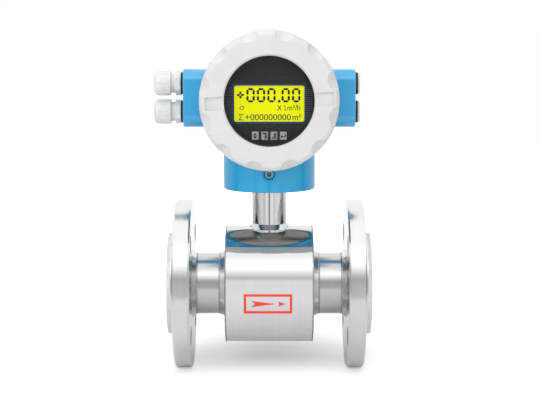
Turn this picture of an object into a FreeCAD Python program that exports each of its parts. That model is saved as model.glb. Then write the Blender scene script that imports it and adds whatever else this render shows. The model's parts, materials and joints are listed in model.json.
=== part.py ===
"""Flanged electromagnetic flow meter with a screw-cover converter head.

Millimetres. The origin lies on the pipe axis at mid-length, +X is the flow direction,
+Z points up to the converter and the display looks along -Y.
"""
import FreeCAD, Part
import Sketcher
import os
import re
from FreeCAD import Placement, Rotation, Vector

# Driving dimensions. Each is a cell of the sheet with the same alias.
SIZES = {
    # Flanges
    "lay_length": 197,
    "flange_rim": 165,
    "flange_thickness": 16.5,
    "flange_bevel": 1.5,
    "raised_face": 102,
    "raised_step": 3,
    "bolt_circle": 125,
    "bolt_hole": 18,
    "bolt_count": 4,
    "hub_outer": 68,
    "hub_length": 4,
    "hub_tip": 1,
    # Tube and liner
    "pipe_outer": 60,
    "pipe_wall": 3.5,
    "liner_wall": 3,
    "liner_lip": 99,
    "liner_lip_thickness": 4,
    "liner_entry": 1.2,
    "weld_gap": 0.05,
    # Sensor shell
    "shell_outer": 114,
    "shell_length": 84,
    "shell_wall": 3,
    "cap_thickness": 4,
    "collar_outer": 66,
    "collar_length": 5.5,
    # Neck
    "neck_outer": 33.7,
    "neck_wall": 3,
    "saddle_collar": 41,
    "saddle_height": 2.8,
    "saddle_flat": 2,
    "saddle_sink": 1,
    "plate_outer": 80,
    "plate_thickness": 8,
    "plate_recess": 1.5,
    "plate_gap": 0.5,
    "gasket_thickness": 1.5,
    "gasket_gap": 1,
    "neck_bolt_circle": 64,
    "neck_screw_count": 4,
    "neck_screw": 4,
    "neck_screw_head": 7,
    "neck_screw_sink": 4.4,
    "neck_screw_socket": 3,
    "neck_screw_reach": 4.5,
    # Magnet
    "core": 12,
    "coil_outer": 40,
    "coil_height": 11,
    "coil_round": 1,
    "coil_gap": 0.4,
    "shoe_gap": 0.2,
    "shoe_thickness": 2,
    "shoe_length": 36,
    "shoe_angle": 90,
    "yoke_width": 40,
    "yoke_thickness": 3,
    "yoke_gap": 0.3,
    # Electrodes
    "electrode_head": 9,
    "electrode_head_thickness": 1.5,
    "electrode_shank": 5,
    "electrode_length": 20,
    "insulator_outer": 9.8,
    "insulator_flange": 14,
    "insulator_flange_thickness": 3,
    "nut_across": 8,
    "nut_height": 4,
    # Leads
    "lead": 5,
    "lead_offset": 9.5,
    "lead_hole": 6.4,
    "grommet_outer": 14,
    "grommet_flange": 18,
    "grommet_flange_thickness": 2,
    # Flow arrow
    "mark_width": 46,
    "mark_height": 19.2,
    "mark_line": 2.3,
    "mark_offset": -1.2,
    "mark_level": -10.6,
    "mark_thickness": 0.25,
    "dart_tail": -15.9,
    "dart_notch": -12.2,
    "dart_tip": 6.8,
    "dart_half": 3.1,
    "point_tail": 9.6,
    "point_notch": 10.6,
    "point_tip": 16.6,
    "point_half": 2.5,
    # Converter housing
    "base_drop": 88.5,
    "base_rim": 4,
    "base_wall": 6,
    "base_floor": 6,
    "base_round": 1.5,
    "base_overlap": 3,
    "barrel_height": 182.5,
    "barrel_outer": 122,
    "barrel_bore": 108,
    "barrel_length": 92,
    "partition_front": 14,
    "partition_thickness": 4,
    "block_reach": 82.5,
    "block_height": 55.5,
    "block_depth": 50,
    "block_round": 12,
    "block_edge": 1.2,
    "block_cavity_height": 43,
    "block_cavity_depth": 26,
    "block_cavity_offset": 4,
    "block_end_wall": 10,
    "entry_hole": 16.4,
    "entry_pitch": 27.3,
    "earth_rise": 17.8,
    "earth_boss": 15,
    "earth_boss_stand": 0.7,
    "earth_boss_depth": 12,
    "earth_sink": 10.5,
    "earth_screw_head": 8.5,
    "earth_screw_head_height": 5,
    "earth_screw_shank": 5,
    "earth_screw_length": 6,
    "earth_screw_socket": 4,
    "earth_screw_round": 0.6,
    # Covers
    "cover_rim": 130,
    "cover_round": 6,
    "cover_back_round": 1,
    "cover_seat_gap": 0.3,
    "cover_turn": 2.5,
    "cover_face": 4,
    "cover_wall": 4.2,
    "front_cover_depth": 31,
    "rear_cover_depth": 26,
    "spigot_length": 12,
    "thread_gap": 0.3,
    "scallop_count": 12,
    "scallop_lean": 45,
    "scallop_radius": 14,
    "scallop_depth": 3.45,
    "scallop_reach": 24,
    "window": 84,
    "window_bevel": 1.5,
    "wrench_slot_count": 2,
    "wrench_slot_width": 12.3,
    "wrench_slot_inner": 40,
    "wrench_slot_outer": 59.4,
    "wrench_slot_depth": 2.5,
    "seal_seat_width": 3.6,
    "seal_seat_depth": 3.9,
    "seal_gap": 0.3,
    # Window
    "glass_gap": 0.3,
    "glass_thickness": 5,
    "window_gasket_thickness": 1,
    "window_gasket_land": 1.2,
    "clamp_thickness": 3,
    "clamp_bore": 86.4,
    "clamp_notch_count": 4,
    "clamp_notch_width": 4,
    "clamp_notch_length": 3,
    # Display
    "display_gap": 1.5,
    "mask_outer": 92,
    "mask_thickness": 3,
    "mask_skirt": 7,
    "mask_skirt_wall": 2,
    "rib_pitch": 1.75,
    "rib_groove": 0.85,
    "rib_depth": 0.6,
    "rib_count": 20,
    "rib_inner": 34.5,
    "rib_overrun": 1,
    "rib_first": -20.6,
    "lcd_drop": 2.8,
    "lcd_frame_width": 67.5,
    "lcd_frame_height": 37,
    "lcd_frame_thickness": 1.2,
    "lcd_frame_sink": 0.3,
    "lcd_width": 65.3,
    "lcd_height": 33.5,
    "lcd_corner": 2,
    "panel_gap": 0.2,
    "panel_margin": 0.5,
    "board_thickness": 1.6,
    "key_count": 4,
    "key_width": 6.4,
    "key_height": 7.7,
    "key_pitch": 8.7,
    "key_drop": 32.6,
    "key_stand": 0.8,
    "key_corner": 0.6,
    "key_gap": 0.3,
    "key_lip": 0.6,
    "key_lip_thickness": 1,
    "key_travel": 0.5,
    "switch_width": 4,
    "pillar_count": 4,
    "pillar": 5,
    "pillar_circle": 76,
    # Electronics
    "main_board_outer": 100,
    "main_board_stand": 12,
    "transformer_width": 30,
    "transformer_height": 26,
    "transformer_depth": 18,
    "transformer_offset": 16,
    "transformer_round": 2,
    "capacitor": 12,
    "capacitor_length": 20,
    "capacitor_offset": 18,
    "capacitor_pitch": 18,
    # Terminals
    "terminal_width": 76,
    "terminal_height": 18,
    "terminal_depth": 18,
    "terminal_drop": 23.5,
    "terminal_count": 10,
    "terminal_pitch": 7,
    "terminal_screw": 4.6,
    "terminal_screw_length": 4,
    "terminal_screw_sink": 1,
    "terminal_slot_width": 0.9,
    "terminal_slot_depth": 1,
    "terminal_slot_overrun": 0.5,
    # Cable glands
    "washer_outer": 21.4,
    "washer_thickness": 3,
    "thread_radial_gap": 0.2,
    "gland_shank_length": 11,
    "gland_hex": 20,
    "gland_hex_thickness": 5,
    "gland_hex_overlap": 1,
    "gland_neck": 18,
    "gland_neck_length": 11,
    "gland_neck_wall": 1.5,
    "gland_bore": 11,
    "gland_mouth_depth": 7,
    "gland_nut_outer": 23.5,
    "gland_nut_length": 16,
    "gland_nut_start": 12.8,
    "gland_nut_thread": 8,
    "gland_nut_mouth": 12,
    "gland_nut_dome": 4.6,
    "gland_nut_gap": 0.3,
    "flute_count": 16,
    "flute_depth": 0.35,
    "flute_radius": 1,
    "flute_stop": 1,
    # Blanking plugs
    "plug_head": 20.4,
    "plug_head_thickness": 2,
    "plug_shank_length": 10,
    "plug_dome": 1.2,
    "plug_slot_width": 1.6,
    "plug_slot_length": 13,
    "plug_slot_depth": 1,
}

# Places and sizes that follow from the driving ones, as expressions over their names.
FORMULAS = {
    "face_plane": "lay_length / 2",
    "raised_plane": "face_plane - liner_lip_thickness",
    "rim_plane": "raised_plane - raised_step",
    "rim_back": "rim_plane - flange_thickness",
    "pipe_radius": "pipe_outer / 2",
    "pipe_bore_radius": "pipe_radius - pipe_wall",
    "flow_radius": "pipe_bore_radius - liner_wall",
    "liner_radius": "pipe_bore_radius - weld_gap",
    "tube_fit_radius": "pipe_radius + weld_gap",
    "shell_radius": "shell_outer / 2",
    "shell_inner_radius": "shell_radius - shell_wall",
    "neck_radius": "neck_outer / 2",
    "neck_bore_radius": "neck_radius - neck_wall",
    "saddle_low": "sqrt(shell_radius^2 - (saddle_collar / 2)^2) - saddle_sink",
    "base_bottom": "barrel_height - base_drop",
    "base_outer": "plate_outer + 2 * (plate_gap + base_rim)",
    "earth_height": "base_bottom + earth_rise",
    "plate_bottom": "base_bottom + plate_recess",
    "plate_top": "plate_bottom + plate_thickness",
    "gasket_top": "plate_top + gasket_thickness",
    "floor_top": "gasket_top + base_floor",
    "neck_screw_place": "neck_bolt_circle / 2 * cos(180 / neck_screw_count)",
    "shoe_inner_radius": "pipe_radius + shoe_gap",
    "shoe_outer_radius": "shoe_inner_radius + shoe_thickness",
    "coil_low": "shoe_outer_radius + coil_gap",
    "coil_high": "coil_low + coil_height",
    "yoke_outer_radius": "shell_inner_radius - yoke_gap",
    "yoke_inner_radius": "yoke_outer_radius - yoke_thickness",
    "core_top": "sqrt(yoke_inner_radius^2 - (core / 2)^2) - weld_gap",
    "insulator_seat": "pipe_radius + shoe_gap",
    "nut_seat": "insulator_seat + insulator_flange_thickness",
    "barrel_half": "barrel_length / 2",
    "bore_radius": "barrel_bore / 2",
    "partition_back": "partition_front - partition_thickness",
    "spigot_radius": "bore_radius - thread_gap",
    "cover_inner_radius": "spigot_radius - cover_wall",
    "seal_seat_radius": "bore_radius + seal_seat_width",
    "seal_ring_radius": "(spigot_radius + seal_seat_radius) / 2",
    "seal_section_radius": "(seal_seat_radius - spigot_radius) / 2 - seal_gap",
    "cover_plane": "barrel_half + cover_seat_gap",
    "glass_radius": "cover_inner_radius - glass_gap",
    "glass_front": "front_cover_depth - cover_face - window_gasket_thickness",
    "glass_back": "glass_front - glass_thickness",
    "clamp_back": "glass_back - clamp_thickness",
    "mask_plane": "cover_plane + clamp_back - display_gap",
    "display_board_front": "mask_plane - mask_skirt",
    "display_board_back": "display_board_front - board_thickness",
    "main_board_back": "partition_front + main_board_stand",
    "main_board_front": "main_board_back + board_thickness",
    "key_lip_front": "mask_thickness + key_gap",
    "key_back": "key_lip_front + key_lip_thickness",
    "pillar_place": "pillar_circle / 2 * cos(180 / pillar_count)",
    "terminal_first": "-(terminal_count - 1) / 2 * terminal_pitch",
    "gland_face": "washer_thickness + gland_hex_thickness",
    "gland_neck_end": "gland_face + gland_neck_length",
    "gland_shank_radius": "entry_hole / 2 - thread_radial_gap",
    "gland_nut_end": "gland_nut_start + gland_nut_length",
    "gland_nut_shoulder": "gland_nut_start + gland_nut_thread",
    "gland_mouth_radius": "gland_neck / 2 - gland_neck_wall",
    "gland_mouth_floor": "gland_neck_end - gland_mouth_depth",
    "plug_end": "washer_thickness + plug_head_thickness",
    "upper_entry": "barrel_height + entry_pitch / 2",
    "lower_entry": "barrel_height - entry_pitch / 2",
}

# Rotations that turn a piece's own +Z to the named direction. For -Y its +Y points up.
FACING = {
    "+Z": Rotation(),
    "-Z": Rotation(Vector(1, 0, 0), 180),
    "+X": Rotation(Vector(0, 1, 0), 90),
    "-X": Rotation(Vector(0, 1, 0), -90),
    "-Y": Rotation(Vector(1, 0, 0), 90),
    "+Y": Rotation(Vector(1, 0, 0), -90),
}

document = FreeCAD.newDocument("FlowMeter")
sheet = document.addObject("Spreadsheet::Sheet", "Size")
for row, (alias, size) in enumerate(SIZES.items(), start=1):
    sheet.set(f"A{row}", alias.replace("_", " "))
    sheet.set(f"B{row}", str(size))
    sheet.setAlias(f"B{row}", alias)
document.recompute()

pieces = []
TOLERANCE = 1e-3


# ---------------------------------------------------------------- shared tools

def full(text):
    """Expression with every formula written out and every alias named in the sheet."""
    def written(match):
        name = match[0]
        if name in FORMULAS:
            return "(" + full(FORMULAS[name]) + ")"
        if name in SIZES:
            return "Size." + name
        return name
    return re.sub(r"[A-Za-z_]\w*", written, str(text))


def number(text):
    """Present value of an expression."""
    return float(sheet.evalExpression(full(text)))


def bind(thing, path, text):
    """Tie a property or constraint to the sheet."""
    thing.setExpression(path, full(text))


def minus(text):
    return f"-({text})"


def new_body(name, facing="+Z", at=("0", "0", "0"), turn=0):
    """Body whose own +Z faces the given way from a place bound to the sheet."""
    body = document.addObject("PartDesign::Body", name)
    body.Label = name
    body.AllowCompound = True
    spin = Rotation(Vector(0, 0, 1), turn)
    body.Placement = Placement(Vector(*(number(c) for c in at)), FACING[facing] * spin)
    for axis, place in zip("xyz", at):
        if place != "0":
            bind(body, f"Placement.Base.{axis}", place)
    pieces.append(body)
    return body


def origin_plane(body, role):
    return next(o for o in body.Origin.OriginFeatures if o.Role == role)


def new_sketch(body, plane, lift="0"):
    """Sketch on one of the body's own planes, lifted along the plane's normal."""
    sketch = body.newObject("Sketcher::SketchObject", "Sketch")
    sketch.AttachmentSupport = [(origin_plane(body, plane), "")]
    sketch.MapMode = "FlatFace"
    if lift != "0":
        sketch.AttachmentOffset = Placement(Vector(0, 0, number(lift)), Rotation())
        bind(sketch, "AttachmentOffset.Base.z", lift)
    return sketch


def constrain(sketch, kind, where, text):
    """Dimension a sketch element and tie the dimension to the sheet."""
    index = sketch.addConstraint(Sketcher.Constraint(kind, *where, number(text)))
    bind(sketch, f"Constraints[{index}]", text)


def add_polygon(sketch, corners):
    """Closed straight-sided loop; each corner is a pair of expressions."""
    points = [Vector(number(u), number(v), 0) for u, v in corners]
    first = sketch.GeometryCount
    count = len(points)
    for i, point in enumerate(points):
        sketch.addGeometry(Part.LineSegment(point, points[(i + 1) % count]), False)
    for i, (u, v) in enumerate(corners):
        line = first + i
        following = first + (i + 1) % count
        sketch.addConstraint(Sketcher.Constraint("Coincident", line, 2, following, 1))
        constrain(sketch, "DistanceX", (-1, 1, line, 1), u)
        constrain(sketch, "DistanceY", (-1, 1, line, 1), v)


def add_box(sketch, u, v, width, height):
    """Rectangle about a centre."""
    add_polygon(sketch, [
        (f"{u} - ({width}) / 2", f"{v} - ({height}) / 2"),
        (f"{u} + ({width}) / 2", f"{v} - ({height}) / 2"),
        (f"{u} + ({width}) / 2", f"{v} + ({height}) / 2"),
        (f"{u} - ({width}) / 2", f"{v} + ({height}) / 2"),
    ])


def add_circle(sketch, u, v, radius):
    centre = Vector(number(u), number(v), 0)
    index = sketch.addGeometry(Part.Circle(centre, Vector(0, 0, 1), number(radius)), False)
    constrain(sketch, "DistanceX", (-1, 1, index, 3), u)
    constrain(sketch, "DistanceY", (-1, 1, index, 3), v)
    constrain(sketch, "Radius", (index,), radius)


def add_hexagon(sketch, u, v, across):
    """Hexagon by its width across the flats."""
    corners = []
    for step in range(6):
        angle = 60 * step
        corners.append((f"{u} + ({across}) / sqrt(3) * cos({angle})",
                        f"{v} + ({across}) / sqrt(3) * sin({angle})"))
    add_polygon(sketch, corners)


def checked(body, feature, grows):
    """Make the feature the tip and see that it added or removed material."""
    before = body.Shape.Volume if body.Tip and not body.Shape.isNull() else 0
    body.Tip = feature
    document.recompute()
    change = feature.Shape.Volume - before
    if (change if grows else -change) <= 0:
        raise RuntimeError(f"{body.Label}: {feature.Name} changed the volume by {change:.3f}")
    return feature


def turned(body, corners, plane="XZ_Plane", axis="V_Axis", angle=None):
    """Solid of revolution from corners (radius, height), or (x, radius) about H_Axis."""
    sketch = new_sketch(body, plane)
    add_polygon(sketch, corners)
    solid = body.newObject("PartDesign::Revolution", "Revolution")
    solid.Profile = sketch
    solid.ReferenceAxis = (sketch, [axis])
    if angle:
        bind(solid, "Angle", angle)
        solid.Midplane = True
    else:
        solid.Angle = 360
    return checked(body, solid, True)


def padded(body, draw, length, plane="XY_Plane", lift="0", centred=False, back=False):
    """Extrusion of what draw(sketch) adds, along the plane's normal."""
    sketch = new_sketch(body, plane, lift)
    draw(sketch)
    solid = body.newObject("PartDesign::Pad", "Pad")
    solid.Profile = sketch
    solid.Midplane = centred
    solid.Reversed = back
    bind(solid, "Length", length)
    return checked(body, solid, True)


def pocketed(body, draw, length=None, plane="XY_Plane", lift="0", centred=False, forward=False):
    """Cut against the plane's normal, or along it if forward; through all without a length."""
    sketch = new_sketch(body, plane, lift)
    draw(sketch)
    cut = body.newObject("PartDesign::Pocket", "Pocket")
    cut.Profile = sketch
    cut.Midplane = centred
    cut.Reversed = forward
    if length is None:
        cut.Type = "ThroughAll"
    else:
        bind(cut, "Length", length)
    return checked(body, cut, False)


def repeated_round(body, features, count, grows=False):
    """Copies of features spread evenly about the body's own Z axis."""
    pattern = body.newObject("PartDesign::PolarPattern", "PolarPattern")
    pattern.Originals = features
    pattern.Axis = (origin_plane(body, "Z_Axis"), [""])
    pattern.Angle = 360
    bind(pattern, "Occurrences", count)
    return checked(body, pattern, grows)


def repeated_along(body, features, role, pitch, count, grows=False):
    """Copies of features in a row along one of the body's own axes."""
    pattern = body.newObject("PartDesign::LinearPattern", "LinearPattern")
    pattern.Originals = features
    pattern.Direction = (origin_plane(body, role), [""])
    pattern.Mode = "Spacing"
    bind(pattern, "Offset", pitch)
    bind(pattern, "Occurrences", count)
    return checked(body, pattern, grows)


def edges_where(feature, wanted):
    """Names of the feature's edges whose box meets the condition, in body coordinates."""
    names = []
    for index, edge in enumerate(feature.Shape.Edges, start=1):
        if wanted(edge.BoundBox):
            names.append(f"Edge{index}")
    return names


def rounded(body, wanted, radius, kind="Fillet"):
    """Fillet or chamfer on the tip's edges that meet the condition."""
    tip = body.Tip
    names = edges_where(tip, wanted)
    if not names:
        raise RuntimeError(f"{body.Label}: no edge to round")
    soft = body.newObject(f"PartDesign::{kind}", kind)
    soft.Base = (tip, names)
    bind(soft, "Radius" if kind == "Fillet" else "Size", radius)
    body.Tip = soft
    document.recompute()
    return soft


def near(value, target):
    return abs(value - target) < TOLERANCE


def ring_at(height, radius):
    """Condition for a circular edge about the body's own Z axis."""
    level = number(height)
    reach = number(radius)
    return lambda box: (near(box.ZMin, level) and near(box.ZMax, level)
                        and near(box.XMax, reach) and near(box.YMax, reach))


# ---------------------------------------------------------------- sensor

def measuring_tube():
    body = new_body("measuring_tube")
    turned(body, [
        (minus("raised_plane"), "pipe_bore_radius"),
        ("raised_plane", "pipe_bore_radius"),
        ("raised_plane", "pipe_radius"),
        (minus("raised_plane"), "pipe_radius"),
    ], axis="H_Axis")
    hole = "insulator_outer / 2 + weld_gap"
    pocketed(body, lambda s: add_circle(s, "0", "0", hole), plane="XZ_Plane", centred=True)


def liner():
    """PTFE tube flared over both raised faces, with a stepped seat for each electrode."""
    body = new_body("liner")
    turned(body, [
        (minus("face_plane"), "flow_radius + liner_entry"),
        (minus("face_plane"), "liner_lip / 2"),
        (minus("raised_plane"), "liner_lip / 2"),
        (minus("raised_plane"), "liner_radius"),
        ("raised_plane", "liner_radius"),
        ("raised_plane", "liner_lip / 2"),
        ("face_plane", "liner_lip / 2"),
        ("face_plane", "flow_radius + liner_entry"),
        ("face_plane - liner_entry", "flow_radius"),
        (minus("face_plane - liner_entry"), "flow_radius"),
    ], axis="H_Axis")
    shank = "electrode_shank / 2 + weld_gap"
    head = "electrode_head / 2 + weld_gap"
    seat = "2 * (flow_radius + electrode_head_thickness)"
    pocketed(body, lambda s: add_circle(s, "0", "0", shank), plane="XZ_Plane", centred=True)
    pocketed(body, lambda s: add_circle(s, "0", "0", head), seat, plane="XZ_Plane", centred=True)


def flange(name, facing):
    body = new_body(name, facing)
    turned(body, [
        ("tube_fit_radius", "rim_back - hub_length"),
        ("tube_fit_radius + hub_tip", "rim_back - hub_length"),
        ("hub_outer / 2", "rim_back"),
        ("flange_rim / 2 - flange_bevel", "rim_back"),
        ("flange_rim / 2", "rim_back + flange_bevel"),
        ("flange_rim / 2", "rim_plane - flange_bevel"),
        ("flange_rim / 2 - flange_bevel", "rim_plane"),
        ("raised_face / 2", "rim_plane"),
        ("raised_face / 2", "raised_plane"),
        ("tube_fit_radius", "raised_plane"),
    ])
    across = "bolt_circle / 2 * cos(180 / bolt_count)"
    up = "bolt_circle / 2 * sin(180 / bolt_count)"
    hole = pocketed(body, lambda s: add_circle(s, across, up, "bolt_hole / 2"),
                    lift="rim_plane", length="flange_thickness + raised_step")
    repeated_round(body, [hole], "bolt_count")


def sensor_shell():
    body = new_body("sensor_shell")
    turned(body, [
        (minus("shell_length / 2"), "shell_inner_radius"),
        ("shell_length / 2", "shell_inner_radius"),
        ("shell_length / 2", "shell_radius"),
        (minus("shell_length / 2"), "shell_radius"),
    ], axis="H_Axis")
    pocketed(body, lambda s: add_circle(s, "0", "0", "neck_bore_radius"), forward=True)


def end_cap(name, facing):
    """Disc welded into the end of the shell, with a conical collar on the tube."""
    body = new_body(name, facing)
    inner_plane = "shell_length / 2 - cap_thickness"
    outer_plane = "shell_length / 2"
    turned(body, [
        ("tube_fit_radius", inner_plane),
        ("shell_inner_radius - weld_gap", inner_plane),
        ("shell_inner_radius - weld_gap", outer_plane),
        ("collar_outer / 2", outer_plane),
        ("tube_fit_radius + hub_tip / 2", "shell_length / 2 + collar_length"),
        ("tube_fit_radius", "shell_length / 2 + collar_length"),
    ])


def neck_tube():
    """Tube cut to a saddle on the shell, with the flared weld collar there."""
    body = new_body("neck_tube")
    turned(body, [
        ("neck_bore_radius", "saddle_low"),
        ("saddle_collar / 2", "saddle_low"),
        ("saddle_collar / 2", "shell_radius - saddle_flat"),
        ("neck_radius", "shell_radius + saddle_height"),
        ("neck_radius", "plate_top"),
        ("neck_bore_radius", "plate_top"),
    ])
    pocketed(body, lambda s: add_circle(s, "0", "0", "shell_radius + weld_gap"),
             plane="YZ_Plane", centred=True)


def neck_screw_holes(body, radius, lift, length, forward=False):
    """Four holes on the neck's bolt circle, at 45 degrees to the flow."""
    place = "neck_screw_place"
    hole = pocketed(body, lambda s: add_circle(s, place, place, radius), length,
                    lift=lift, forward=forward)
    repeated_round(body, [hole], "neck_screw_count")


def neck_plate():
    body = new_body("neck_plate")
    turned(body, [
        ("neck_radius + weld_gap", "plate_bottom"),
        ("plate_outer / 2", "plate_bottom"),
        ("plate_outer / 2", "plate_top"),
        ("neck_radius + weld_gap", "plate_top"),
    ])
    neck_screw_holes(body, "neck_screw / 2 + weld_gap", "plate_top", "plate_thickness")
    neck_screw_holes(body, "neck_screw_head / 2 + weld_gap", "plate_bottom",
                     "neck_screw_sink", forward=True)


def neck_gasket():
    body = new_body("neck_gasket")
    turned(body, [
        ("neck_radius + gasket_gap", "plate_top"),
        ("plate_outer / 2", "plate_top"),
        ("plate_outer / 2", "gasket_top"),
        ("neck_radius + gasket_gap", "gasket_top"),
    ])
    neck_screw_holes(body, "neck_screw / 2 + weld_gap", "gasket_top", "gasket_thickness")


def neck_screws():
    """Four socket-head screws, sunk in the plate from below."""
    body = new_body("neck_screws")
    place = "neck_screw_place"
    head_top = "plate_bottom + neck_screw_sink"
    shank = "plate_thickness - neck_screw_sink + gasket_thickness + neck_screw_reach"
    head = padded(body, lambda s: add_circle(s, place, place, "neck_screw_head / 2"),
                  "neck_screw", lift=head_top, back=True)
    stem = padded(body, lambda s: add_circle(s, place, place, "neck_screw / 2"),
                  shank, lift=head_top)
    socket = pocketed(body, lambda s: add_hexagon(s, place, place, "neck_screw_socket"),
                      "neck_screw / 2", lift=f"{head_top} - neck_screw", forward=True)
    repeated_round(body, [head, stem, socket], "neck_screw_count", grows=True)


def field_coil(name, facing):
    body = new_body(name, facing)
    turned(body, [
        ("core / 2 + coil_gap", "coil_low"),
        ("coil_outer / 2", "coil_low"),
        ("coil_outer / 2", "coil_high"),
        ("core / 2 + coil_gap", "coil_high"),
    ])
    rounded(body, ring_at("coil_high", "coil_outer / 2"), "coil_round")


def pole_shoe(name, facing):
    """Curved shoe on the tube with the coil's core standing on it."""
    body = new_body(name, facing)
    turned(body, [
        (minus("shoe_length / 2"), "shoe_inner_radius"),
        ("shoe_length / 2", "shoe_inner_radius"),
        ("shoe_length / 2", "shoe_outer_radius"),
        (minus("shoe_length / 2"), "shoe_outer_radius"),
    ], axis="H_Axis", angle="shoe_angle")
    root = "shoe_outer_radius - shoe_thickness / 2"
    padded(body, lambda s: add_circle(s, "0", "0", "core / 2"), f"core_top - ({root})", lift=root)


def magnet_yoke():
    """Steel band inside the shell that closes the field, with a hole for the leads."""
    body = new_body("magnet_yoke")
    turned(body, [
        (minus("yoke_width / 2"), "yoke_inner_radius"),
        ("yoke_width / 2", "yoke_inner_radius"),
        ("yoke_width / 2", "yoke_outer_radius"),
        (minus("yoke_width / 2"), "yoke_outer_radius"),
    ], axis="H_Axis")
    pocketed(body, lambda s: add_circle(s, "lead_offset", "0", "lead_hole / 2"), forward=True)


def electrode(name, facing):
    body = new_body(name, facing)
    seat = "flow_radius + electrode_head_thickness"
    tip = "flow_radius + electrode_length"
    turned(body, [
        ("0", "flow_radius"),
        ("electrode_head / 2", "flow_radius"),
        ("electrode_head / 2", seat),
        ("electrode_shank / 2", seat),
        ("electrode_shank / 2", tip),
        ("0", tip),
    ])


def insulator(name, facing):
    body = new_body(name, facing)
    turned(body, [
        ("electrode_shank / 2 + weld_gap", "pipe_bore_radius + weld_gap"),
        ("insulator_outer / 2", "pipe_bore_radius + weld_gap"),
        ("insulator_outer / 2", "insulator_seat"),
        ("insulator_flange / 2", "insulator_seat"),
        ("insulator_flange / 2", "nut_seat"),
        ("electrode_shank / 2 + weld_gap", "nut_seat"),
    ])


def electrode_nuts():
    """One hexagon nut on each electrode."""
    body = new_body("electrode_nuts")

    def nut(sketch):
        add_hexagon(sketch, "0", "0", "nut_across")
        add_circle(sketch, "0", "0", "electrode_shank / 2 + weld_gap")

    front = padded(body, nut, "nut_height", plane="XZ_Plane", lift="nut_seat")
    mirror = body.newObject("PartDesign::Mirrored", "Mirrored")
    mirror.Originals = [front]
    mirror.MirrorPlane = (origin_plane(body, "XZ_Plane"), [""])
    checked(body, mirror, True)


def lead_grommet():
    body = new_body("lead_grommet", at=("lead_offset", "0", "0"))
    turned(body, [
        ("lead / 2 + weld_gap", "gasket_top"),
        ("grommet_outer / 2 - weld_gap", "gasket_top"),
        ("grommet_outer / 2 - weld_gap", "floor_top"),
        ("grommet_flange / 2", "floor_top"),
        ("grommet_flange / 2", "floor_top + grommet_flange_thickness"),
        ("lead / 2 + weld_gap", "floor_top + grommet_flange_thickness"),
    ])


def sensor_leads():
    """Jacketed cable from the coils up through the neck to the terminal block."""
    body = new_body("sensor_leads", at=("lead_offset", "0", "0"))
    start = "coil_high + coil_gap"
    block_bottom = "barrel_height - terminal_drop - terminal_height / 2"
    padded(body, lambda s: add_circle(s, "0", "0", "lead / 2"),
           f"{block_bottom} - ({start})", lift=start)


def flow_arrow_mark():
    """Painted frame with a dart and its point, lying on the front of the shell."""
    body = new_body("flow_arrow_mark")

    def artwork(sketch):
        add_box(sketch, "mark_offset", "mark_level", "mark_width", "mark_height")
        add_box(sketch, "mark_offset", "mark_level",
                "mark_width - 2 * mark_line", "mark_height - 2 * mark_line")
        for tail, notch, tip, half in (
                ("dart_tail", "dart_notch", "dart_tip", "dart_half"),
                ("point_tail", "point_notch", "point_tip", "point_half")):
            add_polygon(sketch, [
                (f"mark_offset + {tail}", f"mark_level + {half}"),
                (f"mark_offset + {notch}", "mark_level"),
                (f"mark_offset + {tail}", f"mark_level - {half}"),
                (f"mark_offset + {tip}", "mark_level"),
            ])

    padded(body, artwork, "shell_radius", plane="XZ_Plane", lift="shell_radius / 2")
    skin = "shell_radius + weld_gap"
    pocketed(body, lambda s: add_circle(s, "0", "0", skin), plane="YZ_Plane", centred=True)

    def outside(sketch):
        add_box(sketch, "0", "0", "4 * shell_radius", "4 * shell_radius")
        add_circle(sketch, "0", "0", f"{skin} + mark_thickness")

    pocketed(body, outside, plane="YZ_Plane", centred=True)


# ---------------------------------------------------------------- converter housing

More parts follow.
